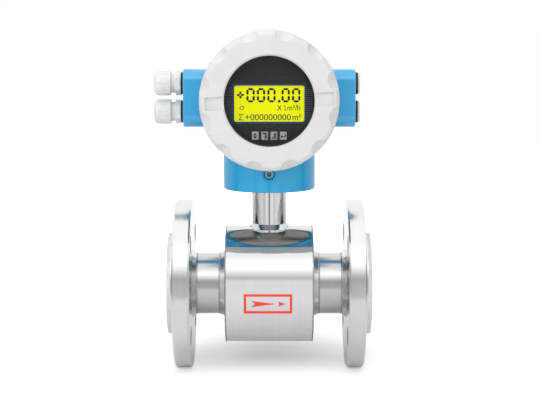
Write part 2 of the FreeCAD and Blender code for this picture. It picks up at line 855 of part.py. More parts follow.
def housing():
    """Casting: blocks and barrel, base cylinder, compartments, entries and earth boss."""
    body = new_body("housing")
    reach = number("block_reach")
    padded(body, lambda s: add_box(s, "0", "barrel_height", "block_depth", "block_height"),
           "2 * block_reach", plane="YZ_Plane", centred=True)
    rounded(body, lambda box: near(box.XLength, 2 * reach), "block_round")
    rounded(body, lambda box: near(box.XMin, box.XMax), "block_edge")
    padded(body, lambda s: add_circle(s, "0", "barrel_height", "barrel_outer / 2"),
           "barrel_length", plane="XZ_Plane", centred=True)
    base_top = "barrel_height - sqrt((barrel_outer / 2)^2 - (base_outer / 2)^2)"
    padded(body, lambda s: add_circle(s, "0", "0", "base_outer / 2"),
           f"{base_top} + base_overlap - base_bottom", lift="base_bottom")
    rounded(body, ring_at("base_bottom", "base_outer / 2"), "base_round")

    # Cavity of the base, open to the barrel.
    cavity_radius = "base_outer / 2 - base_wall"
    cavity_top = f"barrel_height - sqrt(bore_radius^2 - ({cavity_radius})^2)"
    pocketed(body, lambda s: add_circle(s, "0", "0", cavity_radius),
             f"{cavity_top} - floor_top", lift="floor_top", forward=True)

    # Boss for the earth screw, through the wall of the base.
    boss_plane = "base_outer / 2 + earth_boss_stand"
    padded(body, lambda s: add_circle(s, "0", "earth_height", "earth_boss / 2"),
           "earth_boss_depth", plane="XZ_Plane", lift=boss_plane, back=True)

    # Underside seat for the neck plate and its gasket.
    pocketed(body, lambda s: add_circle(s, "0", "0", "plate_outer / 2 + plate_gap"),
             "gasket_top - base_bottom", lift="base_bottom", forward=True)

    # Front and rear compartments with the partition between them.
    bore = "bore_radius"
    pocketed(body, lambda s: add_circle(s, "0", "barrel_height", bore),
             "barrel_half - partition_front", plane="XZ_Plane", lift="barrel_half")
    pocketed(body, lambda s: add_circle(s, "0", "barrel_height", bore),
             "barrel_half + partition_back", plane="XZ_Plane", lift=minus("barrel_half"),
             forward=True)

    # Seats of the cover seals at the mouths of the barrel.
    seat = "seal_seat_radius"
    pocketed(body, lambda s: add_circle(s, "0", "barrel_height", seat),
             "seal_seat_depth", plane="XZ_Plane", lift="barrel_half")
    pocketed(body, lambda s: add_circle(s, "0", "barrel_height", seat),
             "seal_seat_depth", plane="XZ_Plane", lift=minus("barrel_half"), forward=True)

    # Hollow blocks behind the partition, and the four cable entries.
    pocketed(body, lambda s: add_box(s, "block_cavity_offset", "barrel_height",
                                     "block_cavity_depth", "block_cavity_height"),
             "2 * (block_reach - block_end_wall)", plane="YZ_Plane", centred=True)
    for height in ("upper_entry", "lower_entry"):
        pocketed(body, lambda s, z=height: add_circle(s, "0", z, "entry_hole / 2"),
                 plane="YZ_Plane", centred=True)

    # Floor: lead hole and blind holes for the neck screws.
    pocketed(body, lambda s: add_circle(s, "lead_offset", "0", "grommet_outer / 2"),
             "base_floor", lift="floor_top")

    def screw_holes(sketch):
        for across in ("neck_screw_place", minus("neck_screw_place")):
            for along in ("neck_screw_place", minus("neck_screw_place")):
                add_circle(sketch, across, along, "neck_screw / 2 + weld_gap")

    pocketed(body, screw_holes, "neck_screw_reach + weld_gap", lift="gasket_top", forward=True)

    # Sink and hole of the earth screw.
    sink = "earth_screw_head_height + weld_gap"
    pocketed(body, lambda s: add_circle(s, "0", "earth_height", "earth_sink / 2"),
             sink, plane="XZ_Plane", lift=boss_plane)
    pocketed(body, lambda s: add_circle(s, "0", "earth_height",
                                        "earth_screw_shank / 2 + weld_gap"),
             f"{sink} + earth_screw_length", plane="XZ_Plane", lift=boss_plane)


def earth_screw():
    boss_plane = "base_outer / 2 + earth_boss_stand"
    body = new_body("earth_screw", "-Y", ("0", minus(boss_plane), "earth_height"))
    under_head = minus("earth_screw_head_height")
    tip = minus("earth_screw_head_height + earth_screw_length")
    turned(body, [
        ("0", "0"),
        ("earth_screw_head / 2", "0"),
        ("earth_screw_head / 2", under_head),
        ("earth_screw_shank / 2", under_head),
        ("earth_screw_shank / 2", tip),
        ("0", tip),
    ])
    pocketed(body, lambda s: add_hexagon(s, "0", "0", "earth_screw_socket"),
             "earth_screw_head_height / 2")
    rounded(body, ring_at("0", "earth_screw_head / 2"), "earth_screw_round")


# ---------------------------------------------------------------- covers and window

def scalloped(body, depth):
    """Finger scallops milled across the rounded outer edge, between full lobes."""
    lean = "cos(scallop_lean)"
    inset = f"cover_round * (1 - {lean}) + (scallop_depth - scallop_radius) * {lean}"
    radial = f"(cover_rim / 2 - ({inset}) - scallop_reach * {lean})"
    level = f"{depth} - ({inset}) + scallop_reach * {lean}"
    half_step = "180 / scallop_count"
    tool = body.newObject("PartDesign::SubtractiveCylinder", "Scallop")
    bind(tool, "Radius", "scallop_radius")
    bind(tool, "Height", "2 * scallop_reach")
    tool.Placement.Rotation = (Rotation(Vector(0, 0, 1), number(half_step))
                               * Rotation(Vector(0, 1, 0), number("90 + scallop_lean")))
    bind(tool, "Placement.Base.x", f"{radial} * cos({half_step})")
    bind(tool, "Placement.Base.y", f"{radial} * sin({half_step})")
    bind(tool, "Placement.Base.z", level)
    checked(body, tool, False)
    repeated_round(body, [tool], "scallop_count")


def wrench_slots(body, depth):
    """Two radial slots for the cover wrench."""
    middle = "(wrench_slot_inner + wrench_slot_outer) / 2"
    slot = pocketed(body, lambda s: add_box(s, middle, "0",
                                            "wrench_slot_outer - wrench_slot_inner",
                                            "wrench_slot_width"),
                    "wrench_slot_depth", lift=depth)
    repeated_round(body, [slot], "wrench_slot_count")


def front_cover():
    depth = "front_cover_depth"
    body = new_body("front_cover", "-Y", ("0", minus("cover_plane"), "barrel_height"),
                    number("cover_turn"))
    turned(body, [
        ("cover_inner_radius", minus("spigot_length")),
        ("spigot_radius", minus("spigot_length")),
        ("spigot_radius", "0"),
        ("cover_rim / 2", "0"),
        ("cover_rim / 2", depth),
        ("window / 2 + window_bevel", depth),
        ("window / 2", f"{depth} - window_bevel"),
        ("window / 2", f"{depth} - cover_face"),
        ("cover_inner_radius", f"{depth} - cover_face"),
    ])
    rounded(body, ring_at(depth, "cover_rim / 2"), "cover_round")
    rounded(body, ring_at("0", "cover_rim / 2"), "cover_back_round")
    scalloped(body, depth)
    wrench_slots(body, depth)


def rear_cover():
    depth = "rear_cover_depth"
    body = new_body("rear_cover", "+Y", ("0", "cover_plane", "barrel_height"))
    turned(body, [
        ("cover_inner_radius", minus("spigot_length")),
        ("spigot_radius", minus("spigot_length")),
        ("spigot_radius", "0"),
        ("cover_rim / 2", "0"),
        ("cover_rim / 2", depth),
        ("0", depth),
        ("0", f"{depth} - cover_face"),
        ("cover_inner_radius", f"{depth} - cover_face"),
    ])
    rounded(body, ring_at(depth, "cover_rim / 2"), "cover_round")
    rounded(body, ring_at("0", "cover_rim / 2"), "cover_back_round")
    scalloped(body, depth)
    wrench_slots(body, depth)


def cover_seal(name, facing, side):
    """O-ring round the root of a cover's spigot."""
    body = new_body(name, facing, ("0", f"{side} * cover_plane", "barrel_height"))
    sketch = new_sketch(body, "XZ_Plane")
    add_circle(sketch, "seal_ring_radius", minus("seal_gap + seal_section_radius"),
               "seal_section_radius")
    ring = body.newObject("PartDesign::Revolution", "Revolution")
    ring.Profile = sketch
    ring.ReferenceAxis = (sketch, ["V_Axis"])
    ring.Angle = 360
    checked(body, ring, True)


def flat_ring(name, inner, outer, low, high):
    """Turned ring in the front cover's frame."""
    body = new_body(name, "-Y", ("0", minus("cover_plane"), "barrel_height"))
    turned(body, [(inner, low), (outer, low), (outer, high), (inner, high)])
    return body


def window_glass():
    flat_ring("window_glass", "0", "glass_radius", "glass_back", "glass_front")


def window_gasket():
    flat_ring("window_gasket", "window / 2 + window_gasket_land", "glass_radius",
              "glass_front", "glass_front + window_gasket_thickness")


def window_clamp_ring():
    body = flat_ring("window_clamp_ring", "clamp_bore / 2", "glass_radius",
                     "clamp_back", "glass_back")
    notch = pocketed(body, lambda s: add_box(s, "clamp_bore / 2", "0", "clamp_notch_length",
                                             "clamp_notch_width"),
                     "clamp_thickness", lift="glass_back")
    repeated_round(body, [notch], "clamp_notch_count")


# ---------------------------------------------------------------- display

def display_body(name, behind="0"):
    """Body in the display's frame: +Z towards the window, +Y up."""
    return new_body(name, "-Y", ("0", f"-(mask_plane - ({behind}))", "barrel_height"))


def key_place(index):
    """Distance of a key from the middle of the row."""
    return f"({index} - (key_count - 1) / 2) * key_pitch"


def display_mask():
    """Dark face plate with the LCD and key openings, ribbed sides and a skirt."""
    body = display_body("display_mask")
    turned(body, [
        ("0", "0"),
        ("mask_outer / 2", "0"),
        ("mask_outer / 2", minus("mask_skirt")),
        ("mask_outer / 2 - mask_skirt_wall", minus("mask_skirt")),
        ("mask_outer / 2 - mask_skirt_wall", minus("mask_thickness")),
        ("0", minus("mask_thickness")),
    ])

    def openings(sketch):
        add_box(sketch, "0", minus("lcd_drop"), "lcd_frame_width + 2 * panel_gap",
                "lcd_frame_height + 2 * panel_gap")
        for index in range(SIZES["key_count"]):
            add_box(sketch, key_place(index), minus("key_drop"),
                    "key_width + 2 * key_gap", "key_height + 2 * key_gap")

    pocketed(body, openings, "mask_thickness")
    groove_width = "mask_outer / 2 - rib_inner + rib_overrun"
    middle = f"(rib_inner + ({groove_width}) / 2)"

    def grooves(sketch):
        for side in ("1", "-1"):
            add_box(sketch, f"{side} * {middle}", "rib_first", groove_width, "rib_groove")

    first = pocketed(body, grooves, "rib_depth")
    repeated_along(body, [first], "Y_Axis", "rib_pitch", "rib_count")


def lcd_frame():
    body = display_body("lcd_frame", "lcd_frame_sink")

    def border(sketch):
        add_box(sketch, "0", minus("lcd_drop"), "lcd_frame_width", "lcd_frame_height")
        add_box(sketch, "0", minus("lcd_drop"), "lcd_width", "lcd_height")

    padded(body, border, "lcd_frame_thickness", back=True)
    half_width = number("lcd_width / 2")
    upright = (lambda box: near(box.ZLength, number("lcd_frame_thickness"))
               and near(abs(box.XMin), half_width))
    rounded(body, upright, "lcd_corner")


def lcd_panel():
    body = display_body("lcd_panel")
    front = "lcd_frame_sink + lcd_frame_thickness + panel_gap / 2"
    padded(body, lambda s: add_box(s, "0", minus("lcd_drop"),
                                   "lcd_frame_width - 2 * panel_margin",
                                   "lcd_frame_height - 2 * panel_margin"),
           f"mask_skirt - ({front}) - panel_gap / 2", lift=minus(front), back=True)


def key(name, index):
    """Push key: cap through the mask and a lip that keeps it in."""
    body = display_body(name)
    here = key_place(index)
    drop = minus("key_drop")
    padded(body, lambda s: add_box(s, here, drop, "key_width", "key_height"),
           "key_stand + key_lip_front", lift="key_stand", back=True)
    padded(body, lambda s: add_box(s, here, drop, "key_width + 2 * key_lip + key_gap",
                                   "key_height + 2 * key_lip + key_gap"),
           "key_lip_thickness", lift=minus("key_lip_front"), back=True)
    top = number("key_stand")
    rounded(body, lambda box: near(box.ZMin, top) and near(box.ZMax, top), "key_corner")


def display_board():
    """Round board behind the mask with one switch under each key."""
    body = display_body("display_board", "mask_skirt")
    padded(body, lambda s: add_circle(s, "0", "0", "mask_outer / 2"), "board_thickness",
           back=True)

    def switches(sketch):
        for index in range(SIZES["key_count"]):
            add_box(sketch, key_place(index), minus("key_drop"), "switch_width",
                    "switch_width")

    padded(body, switches, "mask_skirt - key_back - key_travel - weld_gap")


def pillars(name, back, length):
    """Four spacer pillars in front of a plane at distance back from the barrel's middle."""
    body = new_body(name, "-Y", ("0", minus(back), "barrel_height"))
    post = padded(body, lambda s: add_circle(s, "pillar_place", "pillar_place", "pillar / 2"),
                  length)
    repeated_round(body, [post], "pillar_count", grows=True)


def main_board():
    body = new_body("main_board", "-Y", ("0", minus("main_board_back"), "barrel_height"))
    padded(body, lambda s: add_circle(s, "0", "0", "main_board_outer / 2"), "board_thickness")


def transformer():
    body = new_body("transformer", "-Y", ("0", minus("main_board_front"), "barrel_height"))
    padded(body, lambda s: add_box(s, minus("transformer_offset"), "0", "transformer_width",
                                   "transformer_height"),
           "transformer_depth")
    rounded(body, lambda box: near(box.ZLength, number("transformer_depth")),
            "transformer_round")


def capacitors():
    body = new_body("capacitors", "-Y", ("0", minus("main_board_front"), "barrel_height"))

    def cans(sketch):
        for place in ("capacitor_pitch / 2", minus("capacitor_pitch / 2")):
            add_circle(sketch, "capacitor_offset", place, "capacitor / 2")

    padded(body, cans, "capacitor_length")


def terminal_block():
    """Block on the rear of the partition with a row of screw wells."""
    body = new_body("terminal_block", "+Y", ("0", minus("partition_back"),
                                             "barrel_height - terminal_drop"))
    padded(body, lambda s: add_box(s, "0", "0", "terminal_width", "terminal_height"),
           "terminal_depth")
    well = pocketed(body, lambda s: add_circle(s, "terminal_first", "0",
                                               "terminal_screw / 2 + weld_gap"),
                    "terminal_screw_length + terminal_screw_sink", lift="terminal_depth")
    repeated_along(body, [well], "X_Axis", "terminal_pitch", "terminal_count")


def terminal_screws():
    body = new_body("terminal_screws", "+Y", ("0", minus("partition_back"),
                                              "barrel_height - terminal_drop"))
    top = "terminal_depth - terminal_screw_sink"
    screw = padded(body, lambda s: add_circle(s, "terminal_first", "0", "terminal_screw / 2"),
                   "terminal_screw_length", lift=top, back=True)
    slot_length = "terminal_screw + 2 * terminal_slot_overrun"
    slot = pocketed(body, lambda s: add_box(s, "terminal_first", "0", slot_length,
                                            "terminal_slot_width"),
                    "terminal_slot_depth", lift=top)
    repeated_along(body, [screw, slot], "X_Axis", "terminal_pitch", "terminal_count",
                   grows=True)


# ---------------------------------------------------------------- cable entries

def entry_body(name, side, height):
    """Body on the end face of a conduit block, its +Z pointing out of the entry."""
    facing = "-X" if side < 0 else "+X"
    return new_body(name, facing, (f"{side} * block_reach", "0", height))


def entry_washer(name, side, height):
    body = entry_body(name, side, height)
    turned(body, [
        ("entry_hole / 2", "0"),
        ("washer_outer / 2", "0"),
        ("washer_outer / 2", "washer_thickness"),
        ("entry_hole / 2", "washer_thickness"),
    ])


def gland_body(name, side, height):
    """Nylon body: threaded shank, hexagon, threaded neck and the mouth for the seal."""
    body = entry_body(name, side, height)
    turned(body, [
        ("gland_bore / 2", minus("gland_shank_length")),
        ("gland_shank_radius", minus("gland_shank_length")),
        ("gland_shank_radius", "washer_thickness"),
        ("gland_neck / 2", "washer_thickness"),
        ("gland_neck / 2", "gland_neck_end"),
        ("gland_mouth_radius", "gland_neck_end"),
        ("gland_mouth_radius", "gland_mouth_floor"),
        ("gland_bore / 2", "gland_mouth_floor"),
    ])

    def hexagon(sketch):
        add_hexagon(sketch, "0", "0", "gland_hex")
        add_circle(sketch, "0", "0", "gland_neck / 2 - gland_hex_overlap")

    padded(body, hexagon, "gland_hex_thickness", lift="washer_thickness")


def gland_seal(name, side, height):
    body = entry_body(name, side, height)
    floor = "gland_mouth_floor + gland_nut_gap"
    top = "gland_nut_shoulder - gland_nut_gap"
    outer = "gland_mouth_radius - gland_nut_gap"
    turned(body, [
        ("gland_bore / 2", floor),
        (outer, floor),
        (outer, top),
        ("gland_bore / 2", top),
    ])


def gland_nut(name, side, height):
    """Dome nut with fine flutes round its side."""
    body = entry_body(name, side, height)
    thread = "gland_neck / 2 + gland_nut_gap"
    turned(body, [
        (thread, "gland_nut_start"),
        ("gland_nut_outer / 2", "gland_nut_start"),
        ("gland_nut_outer / 2", "gland_nut_end"),
        ("gland_nut_mouth / 2", "gland_nut_end"),
        ("gland_nut_mouth / 2", "gland_nut_shoulder"),
        (thread, "gland_nut_shoulder"),
    ])
    rounded(body, ring_at("gland_nut_end", "gland_nut_outer / 2"), "gland_nut_dome")
    centre = "gland_nut_outer / 2 + flute_radius - flute_depth"
    flute = pocketed(body, lambda s: add_circle(s, centre, "0", "flute_radius"),
                     "gland_nut_length - flute_stop", lift="gland_nut_end")
    repeated_round(body, [flute], "flute_count")


def blanking_plug(name, side, height):
    """Nylon plug with a thin domed head and a coin slot."""
    body = entry_body(name, side, height)
    turned(body, [
        ("0", minus("plug_shank_length")),
        ("gland_shank_radius", minus("plug_shank_length")),
        ("gland_shank_radius", "washer_thickness"),
        ("plug_head / 2", "washer_thickness"),
        ("plug_head / 2", "plug_end"),
        ("0", "plug_end"),
    ])
    rounded(body, ring_at("plug_end", "plug_head / 2"), "plug_dome")
    pocketed(body, lambda s: add_box(s, "0", "0", "plug_slot_width", "plug_slot_length"),
             "plug_slot_depth", lift="plug_end")


# ---------------------------------------------------------------- the whole meter

def build_sensor():
    measuring_tube()
    liner()
    flange("inlet_flange", "-X")
    flange("outlet_flange", "+X")
    sensor_shell()
    end_cap("inlet_end_cap", "-X")
    end_cap("outlet_end_cap", "+X")
    neck_tube()
    neck_plate()
    neck_gasket()
    neck_screws()
    for side, facing in (("upper", "+Z"), ("lower", "-Z")):
        field_coil(f"{side}_coil", facing)
        pole_shoe(f"{side}_pole_shoe", facing)
    magnet_yoke()
    for side, facing in (("front", "-Y"), ("rear", "+Y")):
        electrode(f"{side}_electrode", facing)
        insulator(f"{side}_insulator", facing)
    electrode_nuts()
    lead_grommet()
    sensor_leads()
    flow_arrow_mark()


def build_converter():
    housing()
    earth_screw()
    front_cover()
    rear_cover()
    cover_seal("front_cover_seal", "-Y", -1)
    cover_seal("rear_cover_seal", "+Y", 1)
    window_glass()
    window_gasket()
    window_clamp_ring()
    display_mask()
    lcd_frame()
    lcd_panel()
    for index, name in enumerate(("menu_key", "down_key", "up_key", "enter_key")):
        key(name, index)
    display_board()
    pillars("display_pillars", "main_board_front", "display_board_back - main_board_front")
    pillars("board_pillars", "partition_front", "main_board_stand")
    main_board()
    transformer()
    capacitors()
    terminal_block()
    terminal_screws()


def build_entries():
    for level in ("upper", "lower"):
        height = f"{level}_entry"
        entry_washer(f"{level}_gland_washer", -1, height)
        gland_body(f"{level}_gland_body", -1, height)
        gland_seal(f"{level}_gland_seal", -1, height)
        gland_nut(f"{level}_gland_nut", -1, height)
        entry_washer(f"{level}_plug_washer", 1, height)
        blanking_plug(f"{level}_plug", 1, height)


def write_parts():
    """Check every object, then write each piece to its own STEP file."""
    document.recompute()
    for thing in document.Objects:
        if "Invalid" in thing.State or "Error" in thing.State:
            raise RuntimeError(f"{thing.Label} failed: {thing.State}")
    for piece in pieces:
        if piece.Shape.isNull() or not piece.Shape.isValid():
            raise RuntimeError(f"{piece.Label} has no valid shape")
    os.makedirs("parts", exist_ok=True)
    for piece in pieces:
        piece.Shape.exportStep(f"parts/{piece.Label}.step")
        print(f"{piece.Label}: {len(piece.Shape.Solids)} solid, {piece.Shape.Volume:.0f} mm3")
    print(f"{len(pieces)} pieces")


build_sensor()
build_converter()
build_entries()
write_parts()
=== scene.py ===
"""Looks of the flanged flow meter: finishes for every CAD piece, weld beads, threads, the display's
readout, key symbols, board parts and the studio. Lengths are in metres in the part's own frame."""

import json
import math

import bmesh
import bpy
from bpy.props import FloatProperty, FloatVectorProperty, IntProperty, PointerProperty
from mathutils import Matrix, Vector


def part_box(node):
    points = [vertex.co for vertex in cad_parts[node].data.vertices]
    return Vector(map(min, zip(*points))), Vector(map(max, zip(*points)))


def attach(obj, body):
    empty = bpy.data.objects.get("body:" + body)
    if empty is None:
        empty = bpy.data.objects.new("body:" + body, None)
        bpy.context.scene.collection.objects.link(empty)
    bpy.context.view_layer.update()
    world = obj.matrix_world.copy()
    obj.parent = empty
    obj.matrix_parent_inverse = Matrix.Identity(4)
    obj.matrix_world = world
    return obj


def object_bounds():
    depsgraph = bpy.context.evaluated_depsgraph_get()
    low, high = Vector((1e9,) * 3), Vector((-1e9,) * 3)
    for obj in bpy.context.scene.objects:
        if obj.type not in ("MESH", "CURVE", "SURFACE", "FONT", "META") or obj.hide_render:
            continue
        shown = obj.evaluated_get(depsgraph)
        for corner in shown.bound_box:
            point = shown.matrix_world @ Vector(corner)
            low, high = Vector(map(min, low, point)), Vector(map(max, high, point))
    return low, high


bl_info = {
    "name": "Flanged flow meter",
    "version": (1, 0, 0),
    "blender": (4, 5, 0),
    "location": "3D View > Sidebar > Flow meter",
    "description": "Dresses the packed flow meter and lights it in a white studio",
    "category": "Object",
}

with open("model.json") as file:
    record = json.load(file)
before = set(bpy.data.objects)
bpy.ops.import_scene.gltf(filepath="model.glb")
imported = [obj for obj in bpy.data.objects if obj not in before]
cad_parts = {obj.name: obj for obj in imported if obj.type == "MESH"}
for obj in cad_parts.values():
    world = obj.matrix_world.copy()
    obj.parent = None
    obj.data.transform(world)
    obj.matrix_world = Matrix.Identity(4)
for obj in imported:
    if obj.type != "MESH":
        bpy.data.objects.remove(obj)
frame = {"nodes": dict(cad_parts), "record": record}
CAD_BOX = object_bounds()
MM = 0.001
MAIN_BODY = "meter"


def span(node, axis):
    """Lowest and highest place of a CAD node along an axis, 0 for X, 1 for Y and 2 for Z."""
    low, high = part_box(node)
    return low[axis], high[axis]


def middle(node, axis):
    """Middle of a CAD node along an axis."""
    low, high = span(node, axis)
    return (low + high) / 2


def half(node, axis):
    """Half of a CAD node's size along an axis."""
    low, high = span(node, axis)
    return (high - low) / 2


HEAD_HEIGHT = middle("front_cover", 2)
BARREL_AXIS = (0.0, HEAD_HEIGHT)


# ---------------------------------------------------------------- sizes and colours

def length(label, text, value_mm):
    return FloatProperty(name=label, description=text, default=value_mm * MM, unit="LENGTH",
                         subtype="DISTANCE", precision=5)


def count(label, text, value):
    return IntProperty(name=label, description=text, default=value, min=1)


def power(label, text, watts):
    return FloatProperty(name=label, description=text, default=watts, unit="POWER", min=0.0)


def tint(label, text, value):
    return FloatVectorProperty(name=label, description=text, default=value, subtype="COLOR", size=3,
                               min=0.0, max=1.0)


class PaintColours(bpy.types.PropertyGroup):
    """Colours of the coated, moulded and lit pieces."""
    blue: tint("Housing paint", "Gloss paint on the cast housing", (0.0, 0.385, 0.72))
    white: tint("Cover paint", "Textured paint on the two screw covers", (0.74, 0.74, 0.74))
    red: tint("Arrow mark", "Paint of the flow arrow", (0.94, 0.06, 0.03))
    nylon: tint("Cable entries", "Moulded nylon of glands and plugs", (0.80, 0.80, 0.79))
    mask: tint("Mask", "Moulded mask round the display", (0.010, 0.0125, 0.013))
    frame_tint: tint("Display frame", "Moulded frame of the display", (0.02, 0.045, 0.20))
    keys: tint("Key caps", "Soft caps of the four keys", (0.50, 0.51, 0.505))
    glow: tint("Lit panel", "Colour of the lit display", (0.80, 0.84, 0.0))
    steel: tint("Bright steel", "Reflection colour of the polished steel", (0.66, 0.66, 0.655))
    flange: tint("Flange steel", "Reflection colour of the two flanges", (0.80, 0.80, 0.795))
    casing: tint("Casing steel", "Reflection colour of the sensor's casing", (0.86, 0.86, 0.855))


class ReadoutSizes(bpy.types.PropertyGroup):
    """Sizes of what the display shows, from the lit panel's left edge and its middle's level."""
    ink: tint("Segments", "Colour of the dark segments", (0.012, 0.002, 0.003))
    small_ink: tint("Small letters", "Colour of the unit and the total", (0.07, 0.06, 0.004))
    margin: length("Margin", "From the panel's edge to where the rows are measured from", 0.6)
    film: length("Segment thickness", "How far a segment stands off the panel", 0.05)
    digit_width: length("Digit width", "Width of a large digit", 7.8)
    digit_height: length("Digit height", "Height of a large digit", 13.4)
    digit_pitch: length("Digit pitch", "Distance from one large digit to the next", 9.7)
    digit_stroke: length("Digit stroke", "Width of a large segment", 2.1)
    digit_gap: length("Digit gap", "Gap between neighbouring segments", 0.3)
    zeros_before: count("Digits before the point", "Large digits left of the decimal point", 3)
    zeros_after: count("Digits after the point", "Large digits right of the decimal point", 2)
    value_left: length("Value place", "Left edge of the first large digit", 11.4)
    value_foot: length("Value level", "Foot of the large digits", 1.1)
    point_place: length("Point place", "From where the next digit would start to the point", 0.3)
    point_width: length("Point width", "Width of the decimal point", 2.3)
    point_room: length("Point room", "How far the point moves the digits after it", 3.55)
    sign_across: length("Sign place", "Middle of the sign before the value, along the row", 5.8)
    sign_up: length("Sign level", "Middle of the sign before the value, upward", 8.0)
    sign_hole: length("Sign hole", "From the sign's middle to its four strokes", 0.4)
    sign_reach: length("Sign reach", "From the sign's middle to its four points", 3.5)
    sign_stroke: length("Sign stroke", "Width of the sign's strokes", 2.0)
    sign_point: length("Sign point", "Length of the sign's pointed ends", 0.7)
    unit_drop: length("Unit level", "Foot of the unit, below the panel's middle", 6.3)
    one_place: length("Place of the 1", "Middle of the 1 before the unit, along the row", 47.4)
    total_drop: length("Total level", "Foot of the total, below the panel's middle", 15.4)
    sum_place: length("Sum sign place", "Left edge of the sum sign before the total", 4.2)
    total_digits: count("Digits of the total", "Digits of the lowest line", 9)
    pen: length("Pen", "Width of a drawn line in the small rows", 0.62)


class SeamSizes(bpy.types.PropertyGroup):
    """Sizes of welds and screw threads."""
    bead_width: length("Bead width", "Width of a weld bead", 3.2)
    bead_height: length("Bead height", "How far a bead stands proud", 0.6)
    ripple: length("Ripple", "Distance from one weld ripple to the next", 1.6)
    seam_round: length("Seam round", "Radius of the seam at each end of the casing", 0.8)
    seam_sink: length("Seam sink", "How deep the seam's middle lies under the casing's skin", 0.45)
    seam_inset: length("Seam inset", "From the casing's end to the seam's middle", 0.2)
    thread_height: length("Thread height", "How far a thread ridge stands proud", 0.22)
    cover_pitch: length("Cover thread pitch", "Pitch of the covers' threads", 2.0)
    cover_start: length("Cover thread start", "From the spigot's end to its thread", 1.2)
    cover_run: length("Cover thread length", "Length of the covers' threads", 9.0)
    spigot: length("Spigot radius", "Radius of the covers' spigots", 53.7)
    mouth: length("Mouth radius", "Radius of the barrel's mouths", 54.0)
    entry_pitch: length("Entry thread pitch", "Pitch of the gland and plug threads", 1.5)
    neck_radius: length("Gland neck radius", "Radius of the gland bodies' threaded necks", 9.0)
    neck_start: length("Gland thread start", "From the gland body's outer end to its thread", 10.0)
    neck_run: length("Gland thread length", "Length of the thread under a gland nut", 8.0)
    shank_radius: length("Plug shank radius", "Radius of the plugs' threaded shanks", 8.0)
    shank_start: length("Plug thread start", "From the shank's end to its thread", 1.0)
    shank_run: length("Plug thread length", "Length of the plugs' threads", 7.5)
    shank_height: length("Plug thread height", "How far the plugs' ridges stand proud", 0.15)


class TrimSizes(bpy.types.PropertyGroup):
    """Sizes of the painted screw head, its boss, the window's border and painted shade, and the
    mask's rib highlights.
    """
    film: length("Paint film", "Thickness of paint and print", 0.03)
    socket_opening: length("Socket opening", "Radius left open in the painted screw head", 2.5)
    head_round: length("Head edge", "Bevel of the painted screw head", 0.5)
    head_skirt: length("Head skirt", "How far the paint reaches down the screw head", 4.0)
    edge_inside: length("Head edge, inside", "Depth of the paint's bevel on its inside", 0.6)
    shade_inner: length("Socket shade, inner", "Inner radius of the dark ring in the socket", 0.8)
    shade_outer: length("Socket shade, outer", "Outer radius of the dark ring in the socket", 2.2)
    shade_deep: length("Socket shade depth", "From the screw's face to the dark ring", 0.6)
    shade_thick: length("Socket shade thickness", "Thickness of the dark ring", 0.3)
    boss_radius: length("Boss radius", "Radius of the rim round the earth screw", 7.1)
    boss_round: length("Boss edge", "Roundness of that rim", 0.45)
    boss_back: length("Boss place", "From the screw's face back to the rim", 0.1)
    border_inner: length("Border, inner", "Inner radius of the window's black border", 40.8)
    border_outer: length("Border, outer", "Outer radius of the window's black border", 45.0)
    rib_start: length("Rib start", "From the mask's middle to where its rib edges start", 34.1)
    rib_reach: length("Rib reach", "Radius that the rib edges reach", 40.6)
    rib_least: length("Least rib", "Length of the shortest rib edge", 2.5)
    rib_pitch: length("Rib pitch", "Distance from one rib edge to the next", 1.75)
    rib_lowest: length("Lowest rib", "Level of the lowest rib edge on the barrel's axis", -19.7)
    rib_half: length("Rib half", "Half the thickness of a rib edge", 0.22)
    ribs: count("Ribs", "Rib highlights on each side of the display", 19)


class BoardSizes(bpy.types.PropertyGroup):
    """Sizes of the parts on the main board and the terminal block."""
    chip_lift: length("Chip lift", "Gap between a chip and the board", 0.2)
    chip_corner: length("Chip corner", "Cut corner of a chip", 0.4)
    lead_pitch: length("Lead pitch", "Distance from one chip lead to the next", 1.27)
    lead_reach: length("Lead reach", "From a chip's side to the middle of its leads", 0.6)
    resistors: count("Resistors", "Small resistors on the main board, in two rows", 24)
    resistor_pitch: length("Resistor pitch", "Distance from one resistor to the next", 6.0)
    terminals: count("Terminals", "Numbered terminals", 10)
    terminal_pitch: length("Terminal pitch", "Distance from one terminal to the next", 7.0)
    number_width: length("Number width", "Width of one printed figure", 1.2)
    number_height: length("Number height", "Height of the printed figures", 2.2)
    number_foot: length("Number level", "From the block's underside to the figures", 13.6)
    number_film: length("Number film", "How far the figures stand off the block", 0.03)


class StudioSizes(bpy.types.PropertyGroup):
    """Floor, camera and lamps."""
    floor_width: length("Floor width", "Width of the white floor", 5000)
    key_power: power("Key lamp", "Power of the large lamp in front, above", 2.5)
    top_power: power("Top lamp", "Power of the lamp overhead", 6.5)
    fill_power: power("Fill lamp", "Power of the lamp at the left", 3.0)
    focal: FloatProperty(name="Focal length", description="Lens of the camera in millimetres",
                         default=99.28, unit="CAMERA")
    tilt: FloatProperty(name="Camera tilt", description="How far the camera looks down",
                        default=math.radians(6.871), subtype="ANGLE")
    camera_place: FloatVectorProperty(name="Camera place", description="Where the camera stands",
                                      default=(0.0007, -1.447, 0.2541), size=3, unit="LENGTH",
                                      subtype="TRANSLATION")


GROUPS = {"flow_paint": PaintColours, "flow_readout": ReadoutSizes, "flow_seams": SeamSizes,
          "flow_trim": TrimSizes, "flow_board": BoardSizes, "flow_studio": StudioSizes}


# ---------------------------------------------------------------- finishes

